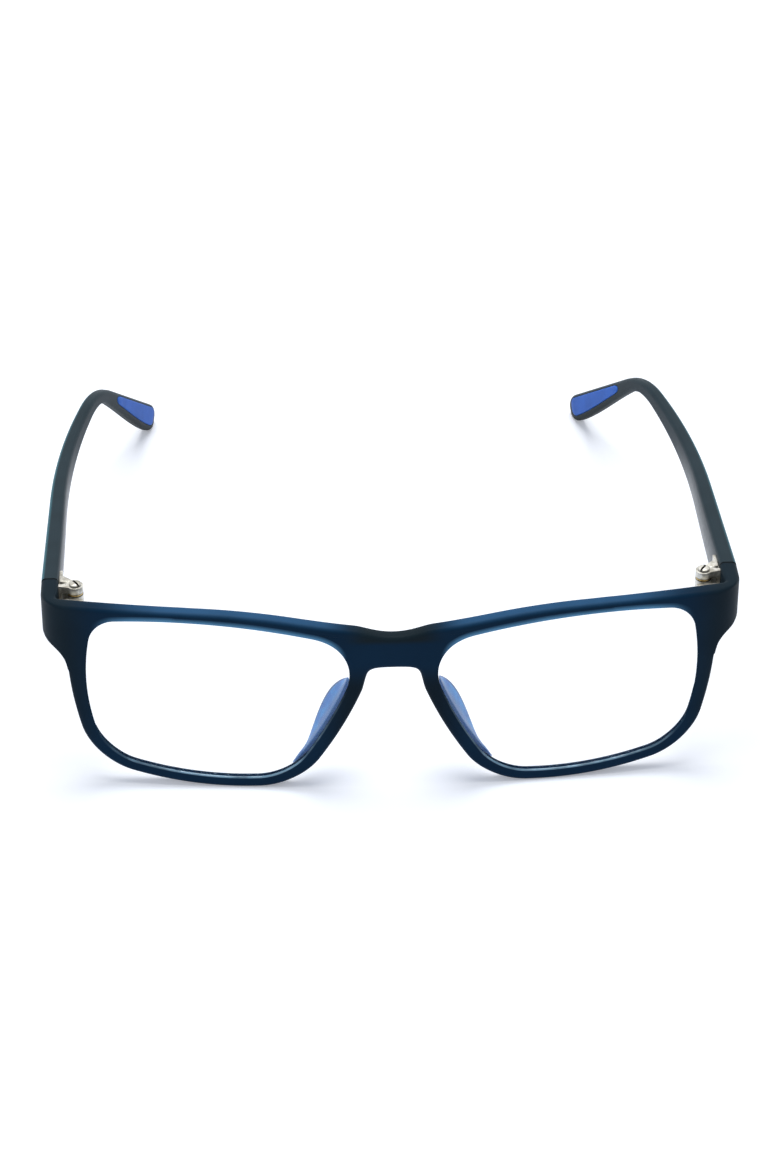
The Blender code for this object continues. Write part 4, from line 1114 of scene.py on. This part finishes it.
def rings(height, foot, count, pitch, outer, mat):
    return grow(ringRow, bpy.data.meshes.new("ring"), {
        "Outer Radius": outer, "Inner Radius": hinge["pinRadius"] + hinge["boreGap"], "Height": height,
        "Edge Round": min(hinge["ringRound"], hinge["ringShare"] * height), "Count": count, "Pitch": pitch,
        "Sides": hinge["sides"], "Place": (pinX, pinY, foot + height / 2), "Material": mat})


def nearPin(*offsets):
    return [(pinX + a, pinY + b) for a, b in offsets]


def nearBox(x, y, farX, farY):
    return nearPin((x, y), (farX, y), (farX, farY), (x, farY))


def pinCircle(radius, first=0.0, last=2 * math.pi, count=None, ends=False):
    return [(pinX + radius * math.cos(a), pinY + radius * math.sin(a))
            for a in steps(first, last, count or hinge["sides"], ends)]


def pinHole(foot, top):
    return prism("hole", pinCircle(hinge["pinRadius"] + hinge["holeGap"]), foot, top)


def frontLeaf():
    turned = pinY - place(turnTo, 0, 0).y
    ahead = hinge["ahead"] - hinge["setback"]
    clear = hinge["knuckleRadius"] + hinge["footGap"]
    rear = place(pinX, 0, front["depth"]).y - pinY - hinge["sunk"]
    half = hinge["footWidth"] / 2
    leaf = prism("flange", nearBox(leafFace, -turned, leafBack, ahead), hingeFoot, levels[2][0])
    for outline, top in ((nearBox(-half, rear, leafBack, -clear), hingeFoot + hinge["footTop"]),
                         (nearBox(leafFace, -hinge["armWidth"], leafBack, ahead), hingeTop)):
        leaf = combine(leaf, prism("foot", outline, hingeFoot, top), 'UNION')
    reach = leafFace + hinge["leaf"] / 2
    root = -clear - hinge["overlap"]
    rearEdge = (reach, ahead - hinge["setback"] / 2)
    lower = nearPin((-half, root), (half, root), (reach, -clear), rearEdge)
    lower += pinCircle(hinge["knuckleRadius"], *hinge["lowerArc"])
    upper = nearPin((reach, hinge["armLap"] - hinge["armWidth"]), rearEdge)
    upper += pinCircle(hinge["knuckleRadius"], *hinge["upperArc"])
    for arm, (foot, top) in ((lower, levels[0]), (upper, levels[4])):
        leaf = combine(leaf, prism("arm", arm, foot, top), 'UNION')
    leaf = combine(leaf, pinHole(levels[0][0] - mm, levels[4][1] + mm), 'DIFFERENCE')
    return softened(leaf, hinge["bevel"])


def templeLeaf():
    start = hinge["ahead"] + hinge["jointGap"] + hinge["setback"]
    end = start + hinge["plateLength"]
    drift = math.tan(temple["toeIn"])
    plate = nearPin((leafFace - start * drift, start), (leafBack - start * drift, start),
                    (leafBack - end * drift, end), (leafFace - end * drift, end))
    middle = (hingeFoot + hingeTop) / 2
    half = hinge["plateHeight"] / 2
    inside = leafFace + hinge["leaf"] / 3
    arm = pinCircle(hinge["knuckleRadius"], *hinge["middleArc"])
    arm += nearPin((leafFace, start - hinge["setback"]), (inside, start), (inside, start + hinge["gusset"]))
    foot, top = levels[2]
    leaf = combine(prism("plate", plate, middle - half, middle + half), prism("arm", arm, foot, top), 'UNION')
    far = start + hinge["lugLength"]
    lug = pinCircle(hinge["knuckleRadius"] + hinge["lugClear"], *hinge["lugArc"])
    lug += nearPin((inside, start), (inside, far), (leafFace - hinge["lugLap"], far))
    leaf = combine(leaf, prism("lug", lug, foot, levels[4][1] - hinge["lugDrop"]), 'UNION')
    leaf = combine(leaf, pinHole(foot - mm, top + mm), 'DIFFERENCE')
    return softened(leaf, hinge["bevel"])


def hingeScrew():
    seat, foot, edge = screwSeat, levels[0][0], hinge["headEdge"]
    r, head, height, low = hinge["pinRadius"], hinge["headRadius"], hinge["headHeight"], hinge["crownFrom"]
    crown = [(head * math.cos(a), seat + height * (low + (1 - low) * math.sin(a)))
             for a in steps(0, hinge["crownArc"], hinge["crownSteps"], True)]
    profile = [(hinge["tailShare"] * r, foot - hinge["tail"]), (r, foot - edge), (r, seat),
               (head - edge, seat), (head, seat + edge)] + crown
    screw = loft("screw", [[Vector((x, y, z)) for x, y in pinCircle(radius)] for radius, z in profile])
    half = hinge["slot"] / 2
    far = head + mm
    c, s = math.cos(hinge["slotTurn"]), math.sin(hinge["slotTurn"])
    bar = nearPin(*[(a * c - b * s, a * s + b * c)
                    for a, b in ((-far, -half), (far, -half), (far, half), (-far, half))])
    cut = prism("slot", bar, seat + hinge["slotFloor"] * height, seat + height + mm)
    return softened(combine(screw, cut, 'DIFFERENCE'), hinge["screwBevel"])


# temples, swept along a path by geometry nodes

temple = {
    "length": 146.0 * mm, "jointDepth": 9.4 * mm, "neckAt": 92.0 * mm, "neckDepth": 2.9 * mm,
    "paddleAt": 142.0 * mm, "paddleDepth": 6.2 * mm, "shaftThickness": 2.6 * mm,
    "edgeRound": 0.9 * mm, "tipRound": 5.5 * mm, "tipThin": 0.45, "shaftFall": 5.0449 * deg,
    "dropAt": 82.0 * mm, "dropRadius": 38.0 * mm, "dropTurn": 29.0 * deg,
    "toeIn": 0.6 * deg, "curlAt": 36.0 * mm, "curlRadius": 240.0 * mm, "curlTurn": 13.3 * deg,
    "jointThickness": front["endDepth"], "thinFrom": 5.15 * mm, "thinTo": 92.15 * mm,
    "pathStep": 0.5 * mm, "sides": 48, "rings": 190, "ringEase": 1.6, "sideTurn": 0.02,
    "leastTip": 0.02, "roundShare": 0.84,
}
# where the round blank's cosine (inside is 1) and sine (top is 1) start and end a mark, and its values there
templeMarks = {
    "outer": (-0.2, -0.7, 0.0, 1.0), "upper": (0.05, 0.35, 0.22, 1.0),
    "inner": (0.55, 0.95, 0.0, 1.0), "lower": (-0.1, 0.03, 1.0, 0.15), "beneath": (0.0, -0.4, 0.0, 1.0),
}
templeSizes = ("Joint Depth", "Neck Depth", "Paddle Depth", "Neck At", "Paddle At", "Joint Thickness",
               "Shaft Thickness", "Thin From", "Thin To", "Edge Round", "Tip Round", "Tip Thin")
templeCounts = ("Sides", "Rings")


def templeHeading(s):
    curl = temple["toeIn"] + min(max(s - temple["curlAt"], 0) / temple["curlRadius"], temple["curlTurn"])
    fall = temple["shaftFall"] + min(max(s - temple["dropAt"], 0) / temple["dropRadius"], temple["dropTurn"])
    level = Vector((-math.sin(curl), math.cos(curl), 0))
    return level * math.cos(fall) - Vector((0, 0, math.sin(fall))), Vector((-level.y, level.x, 0))


def templePath():
    # outer top edge, from the joint to the tip
    p = Vector((joint.x, joint.y + hinge["jointGap"], joint.z))
    count = round(temple["length"] / temple["pathStep"])
    points = [p]
    for i in range(count):
        p = p + templeHeading((i + 0.5) * temple["pathStep"])[0] * temple["pathStep"]
        points.append(p)
    return points


path = templePath()


def templeFrame(s):
    i = min(int(s / temple["pathStep"]), len(path) - 2)
    p = path[i].lerp(path[i + 1], s / temple["pathStep"] - i)
    heading, inward = templeHeading(s)
    return p, inward, heading.cross(inward).normalized()


def templeDepth(s):
    if s < temple["neckAt"]:
        return blendTo(temple["jointDepth"], temple["neckDepth"], s / temple["neckAt"])
    t = min((s - temple["neckAt"]) / (temple["paddleAt"] - temple["neckAt"]), 1.0)
    return blendTo(temple["neckDepth"], temple["paddleDepth"], t * t * (3 - 2 * t))


def templeTree():
    tree = bpy.data.node_groups.new("templeSweep", 'GeometryNodeTree')
    addSockets(tree, 'INPUT', "Geometry", "Path")
    addSockets(tree, 'INPUT', "Float", *templeSizes)
    addSockets(tree, 'INPUT', "Int", *templeCounts)
    addSockets(tree, 'INPUT', "Material", "Material")
    addSockets(tree, 'OUTPUT', "Geometry", "Geometry")
    given = newNode(tree, 'NodeGroupInput').outputs

    run = newNode(tree, 'GeometryNodeMeshToCurve', {0: given["Path"]}).outputs[0]
    links = {"Vertices": given["Sides"], "Side Segments": given["Rings"], "Radius": 1.0, "Depth": 1.0}
    blank = newNode(tree, 'GeometryNodeMeshCylinder', links, fill_type='NGON')
    spot = apart(tree, newNode(tree, 'GeometryNodeInputPosition').outputs[0])
    turn = calc(tree, 'ADD', calc(tree, 'ARCTAN2', spot["Y"], spot["X"]), temple["sideTurn"])
    total = newNode(tree, 'GeometryNodeCurveLength', {0: run}).outputs[0]
    left = calc(tree, 'MAXIMUM', calc(tree, 'SUBTRACT', 0.5, spot["Z"]), 0.0)
    along = times(tree, calc(tree, 'SUBTRACT', 1.0, calc(tree, 'POWER', left, temple["ringEase"])), total)
    sample = newNode(tree, 'GeometryNodeSampleCurve', {"Curves": run, "Length": along}, mode='LENGTH')
    ahead = sample.outputs["Tangent"]
    inward = vec(tree, 'NORMALIZE', vec(tree, 'CROSS_PRODUCT', (0, 0, 1), ahead))
    up = vec(tree, 'CROSS_PRODUCT', ahead, inward)

    taper = ramp(tree, along, 0.0, given["Neck At"], given["Joint Depth"], given["Neck Depth"], 'LINEAR')
    widen = calc(tree, 'SUBTRACT', given["Paddle Depth"], given["Neck Depth"])
    deep = calc(tree, 'ADD', taper, ramp(tree, along, given["Neck At"], given["Paddle At"], 0.0, widen))
    thick = ramp(tree, along, *(given[name] for name in ("Thin From", "Thin To", "Joint Thickness",
                                                         "Shaft Thickness")))
    tipFrom = calc(tree, 'SUBTRACT', total, given["Tip Round"])
    past = calc(tree, 'MAXIMUM', calc(tree, 'SUBTRACT', along, tipFrom), 0.0)
    tip = calc(tree, 'DIVIDE', past, given["Tip Round"])
    left = calc(tree, 'SUBTRACT', 1.0, times(tree, tip, tip))
    close = calc(tree, 'SQRT', calc(tree, 'MAXIMUM', left, temple["leastTip"]))
    tipThick = times(tree, thick, ramp(tree, close, 0.0, 1.0, given["Tip Thin"], 1.0, 'LINEAR'))
    half = times(tree, tipThick, 0.5)
    tall = times(tree, times(tree, deep, close), 0.5)
    soft = times(tree, calc(tree, 'MINIMUM', half, tall), temple["roundShare"])
    soft = calc(tree, 'MINIMUM', given["Edge Round"], soft)
    cosine, sine = calc(tree, 'COSINE', turn), calc(tree, 'SINE', turn)

    def side(extent, wave):
        flat = times(tree, calc(tree, 'SUBTRACT', extent, soft), calc(tree, 'SIGN', wave))
        return calc(tree, 'MULTIPLY_ADD', soft, wave, flat)

    inMiddle = stretch(tree, inward, times(tree, thick, 0.5))
    downMiddle = stretch(tree, up, times(tree, deep, -0.5))
    spotNow = vec(tree, 'ADD', sample.outputs["Position"], vec(tree, 'ADD', inMiddle, downMiddle))
    spotNow = vec(tree, 'ADD', spotNow, stretch(tree, inward, side(half, cosine)))
    spotNow = vec(tree, 'ADD', spotNow, stretch(tree, up, side(tall, sine)))
    parts, begin = apart(tree, spotNow), apart(tree, sample.outputs["Position"])
    atJoint = calc(tree, 'LESS_THAN', along, 1e-6)    # the end face is squared to the joint
    squared = calc(tree, 'MULTIPLY_ADD', calc(tree, 'SUBTRACT', begin["Y"], parts["Y"]), atJoint, parts["Y"])
    standing = newNode(tree, 'ShaderNodeCombineXYZ', {"X": parts["X"], "Y": squared,
                                                      "Z": calc(tree, 'MAXIMUM', parts["Z"], 0.0)}).outputs[0]
    outer, inner = (ramp(tree, cosine, *templeMarks[name]) for name in ("outer", "inner"))
    upper, lower, beneath = (ramp(tree, sine, *templeMarks[name]) for name in ("upper", "lower", "beneath"))
    marked = blank.outputs["Mesh"]    # marked while its points still lie on the round blank
    # masks for painted light: a painted highlight on the upper outer edge, a painted sheen and painted shade
    # on the inside, and painted shade beneath
    for name, value in (("highlightBand", times(tree, outer, upper)), ("inside", times(tree, inner, lower)),
                        ("beneath", beneath)):
        links = {"Geometry": marked, "Name": name, "Value": value}
        mark = newNode(tree, 'GeometryNodeStoreNamedAttribute', links, data_type='FLOAT', domain='POINT')
        marked = mark.outputs[0]
    moved = newNode(tree, 'GeometryNodeSetPosition', {"Geometry": marked, "Position": standing})
    paintedOut(tree, newNode(tree, 'GeometryNodeRealizeInstances', {0: moved.outputs[0]}), given["Material"])
    return tree


def templeMesh():
    data = bpy.data.meshes.new("templePath")
    data.from_pydata(path, [(i, i + 1) for i in range(len(path) - 1)], [])
    values = {name: temple[name[0].lower() + name[1:].replace(" ", "")]
              for name in templeSizes + templeCounts}
    return grow(templeTree(), data, {**values, "Material": slatePlastic})


# rubber grips inside the tips

grip = {
    "length": 36.5 * mm, "end": 3.2 * mm, "border": 0.7 * mm, "lowBorder": 1.25 * mm,
    "sunk": 0.9 * mm, "proud": 0.3 * mm, "clear": 0.12 * mm, "taper": 3.0 * mm, "leastEnd": 0.003,
    "edgeRound": 0.3 * mm, "edgeShare": 0.35, "steps": 40, "endSteps": 10, "edgeSteps": 4,
}


def gripMesh(margin):
    last = temple["length"] - grip["end"]
    first = last - grip["length"]
    arc = [1 - math.cos(a) for a in steps(0, math.pi / 2, grip["endSteps"])]
    spots = [first - margin + grip["taper"] * x for x in arc]
    spots += steps(first + grip["taper"], last - grip["taper"], grip["steps"], True)
    spots += [last + margin - grip["taper"] * x for x in reversed(arc)]
    rows = []
    for s in spots:
        p, inward, up = templeFrame(s)
        near = min(min(s - first, last - s) + margin, grip["taper"]) / grip["taper"]
        ends = math.sqrt(max(1 - (1 - near)**2, grip["leastEnd"]))
        room = (templeDepth(s) - grip["border"] - grip["lowBorder"]) / 2
        middle = p - up * (grip["border"] + room)
        half = room * ends + margin
        face = temple["shaftThickness"]
        bottom = face - grip["sunk"] - margin
        top = face + grip["proud"] * ends + margin
        soft = min(grip["edgeShare"] * half, grip["edgeRound"])
        outline = [(bottom, -half)]
        outline += [(top - soft * a, -half + soft * b) for a, b in quarter(grip["edgeSteps"])]
        outline += [(top - soft * a, half - soft * b) for a, b in reversed(quarter(grip["edgeSteps"]))]
        outline.append((bottom, half))
        rows.append([middle + inward * a + up * b for a, b in outline])
    return loft("grip", rows)


# lenses and nose pads

lens = {"edge": 1.1 * mm, "clear": 0.25 * mm, "faceClear": 0.15 * mm, "bulge": 0.7 * mm, "steps": 160,
        "sizes": (0.12, 0.3, 0.5, 0.7, 0.85, 0.95, 0.993, 1.0)}


def lensMesh():
    mid = front["grooveAt"]
    spots = steps(0, line["total"], lens["steps"])
    centre = sum((eyeAt(s) for s in spots), Vector((0, 0))) / lens["steps"]
    edge = [eyeAt(s) - eyeNormal(s) * lens["faceClear"] for s in spots]
    bevel = [eyeAt(s) + eyeNormal(s) * (front["grooveDepth"] - lens["clear"]) for s in spots]

    def row(size, side):
        w = mid + side * lens["edge"] / 2 - lens["bulge"] * (1 - size**2)
        return [place(p.x, p.y, w) for p in (centre.lerp(q, size) for q in edge)]

    rows = [row(size, -1) for size in lens["sizes"]]
    rows.append([place(p.x, p.y, mid) for p in bevel])
    rows += [row(size, 1) for size in reversed(lens["sizes"])]
    values = [1.0 if i == len(lens["sizes"]) else 0.0 for i, r in enumerate(rows) for _ in r]
    points = [p for r in rows for p in r]
    return closedMesh("lens", points, loftFaces(len(rows), lens["steps"]), edge=values)


pad = {
    "lean": 0.7, "full": 1.1, "leastSwell": 0.04, "depth": 5.3 * mm, "splay": 2.5 * mm,
    "thick": 1.7 * mm, "tailThick": 0.4, "top": 14.8 * mm, "foot": 4.0 * mm, "tail": 5.2 * mm,
    "glue": 0.1 * mm, "fill": 0.9 * mm, "rootRise": 0.1 * mm,
    "lensLap": 0.35 * mm, "tailLap": 0.8 * mm, "tailRun": (0.88, 0.12), "steps": 22,
    "edge": (0, 0, 0.05, 0.3, 0.8, 1, 1, 0.85, 0.3, 0),    # root 0 and free edge 1, round the section
}


def padMesh():
    top = findEdge(nasalSide, 1, line["top"] - pad["top"])
    foot = findEdge(nasalSide, 1, line["foot"] + pad["foot"]) + pad["tail"]
    rows, edge = [], []
    for t in steps(0, 1, pad["steps"], True):
        s = blendTo(top, foot, t)
        out = eyeNormal(s)
        rim = eye["rimNasal"] / 2
        root = eyeAt(s) + out * rim
        swell = max(math.sin(math.pi * t**pad["lean"]), pad["leastSwell"])**pad["full"]
        reach, splay, fill = pad["depth"] * swell, pad["splay"] * swell, pad["fill"]
        half = pad["thick"] / 2 * blendTo(pad["tailThick"], 1, swell)
        lensSide = blendTo(rim + pad["lensLap"], pad["tailLap"], share(t, *pad["tailRun"]))
        outline = [(lensSide, -fill), (-half, -0.3 * fill), (-half, pad["rootRise"]),
                   (0.3 * splay - half, 0.45 * reach), (splay - 0.9 * half, 0.9 * reach),
                   (splay - 0.3 * half, reach), (splay + 0.4 * half, 0.97 * reach),
                   (0.9 * splay + 0.9 * half, 0.84 * reach),
                   (max(lensSide, 0.55 * splay + half), 0.4 * reach), (lensSide, -0.3 * fill)]
        for across, back in outline:
            p = root - out * across
            rows.append(place(p.x, p.y, front["depth"] + pad["glue"] + back))
        edge += pad["edge"]
    mesh = closedMesh("pad", rows, loftFaces(pad["steps"] + 1, len(pad["edge"])), edge=edge)
    return applied(mesh, 'SUBSURF', levels=2, render_levels=2)


# all pieces

navyPlastic = grainMaterial("navyPlastic", frontFinish, frontColour, lipCoatAndHighlight)
slatePlastic = grainMaterial("slatePlastic", templeFinish, templeColour, templePolish)
gripRubber = grainMaterial("gripRubber", gripFinish)
padSilicone = grainMaterial("padSilicone", padFinish, padColour)
nickel = metalMaterial("nickelPlate", nickelFinish, gapShade)
screwSteel = metalMaterial("screwSteel", nickelFinish, slotShade)
brass = metalMaterial("washerBrass", brassFinish)
clearLens = lensMaterial()
print("materials")

addPiece("frontFrame", frontMesh(), navyPlastic, "front", "front", "front_frame")
print("front")
addPair("Lens", lensMesh(), clearLens, "front", "lens", "lens")
addPair("NosePad", padMesh(), padSilicone, "front", "nose_pad", "nose_pad")
print("lenses and nose pads")
templeBody = combine(templeMesh(), gripMesh(grip["clear"]), 'DIFFERENCE')
addPair("Temple", templeBody, slatePlastic, "arm", "temple", "temple")
addPair("TipGrip", gripMesh(0), gripRubber, "arm", "grip", "tip_grip")
print("temples and grips")
addPair("FrontHingeLeaf", frontLeaf(), nickel, "front", "hinge", "front_hinge_leaf")
addPair("TempleHingeLeaf", templeLeaf(), nickel, "arm", "hinge", "temple_hinge_leaf")
addPair("HingeScrew", hingeScrew(), screwSteel, "front", "screw", "hinge_screw")
washerRadius = hinge["washerShare"] * hinge["knuckleRadius"]
washers = rings(hinge["washer"], levels[1][0], 2, levels[3][0] - levels[1][0], washerRadius, brass)
addPair("HingeWashers", washers, brass, "front", "washer", "upper_hinge_washer", "lower_hinge_washer")
print("hinges")
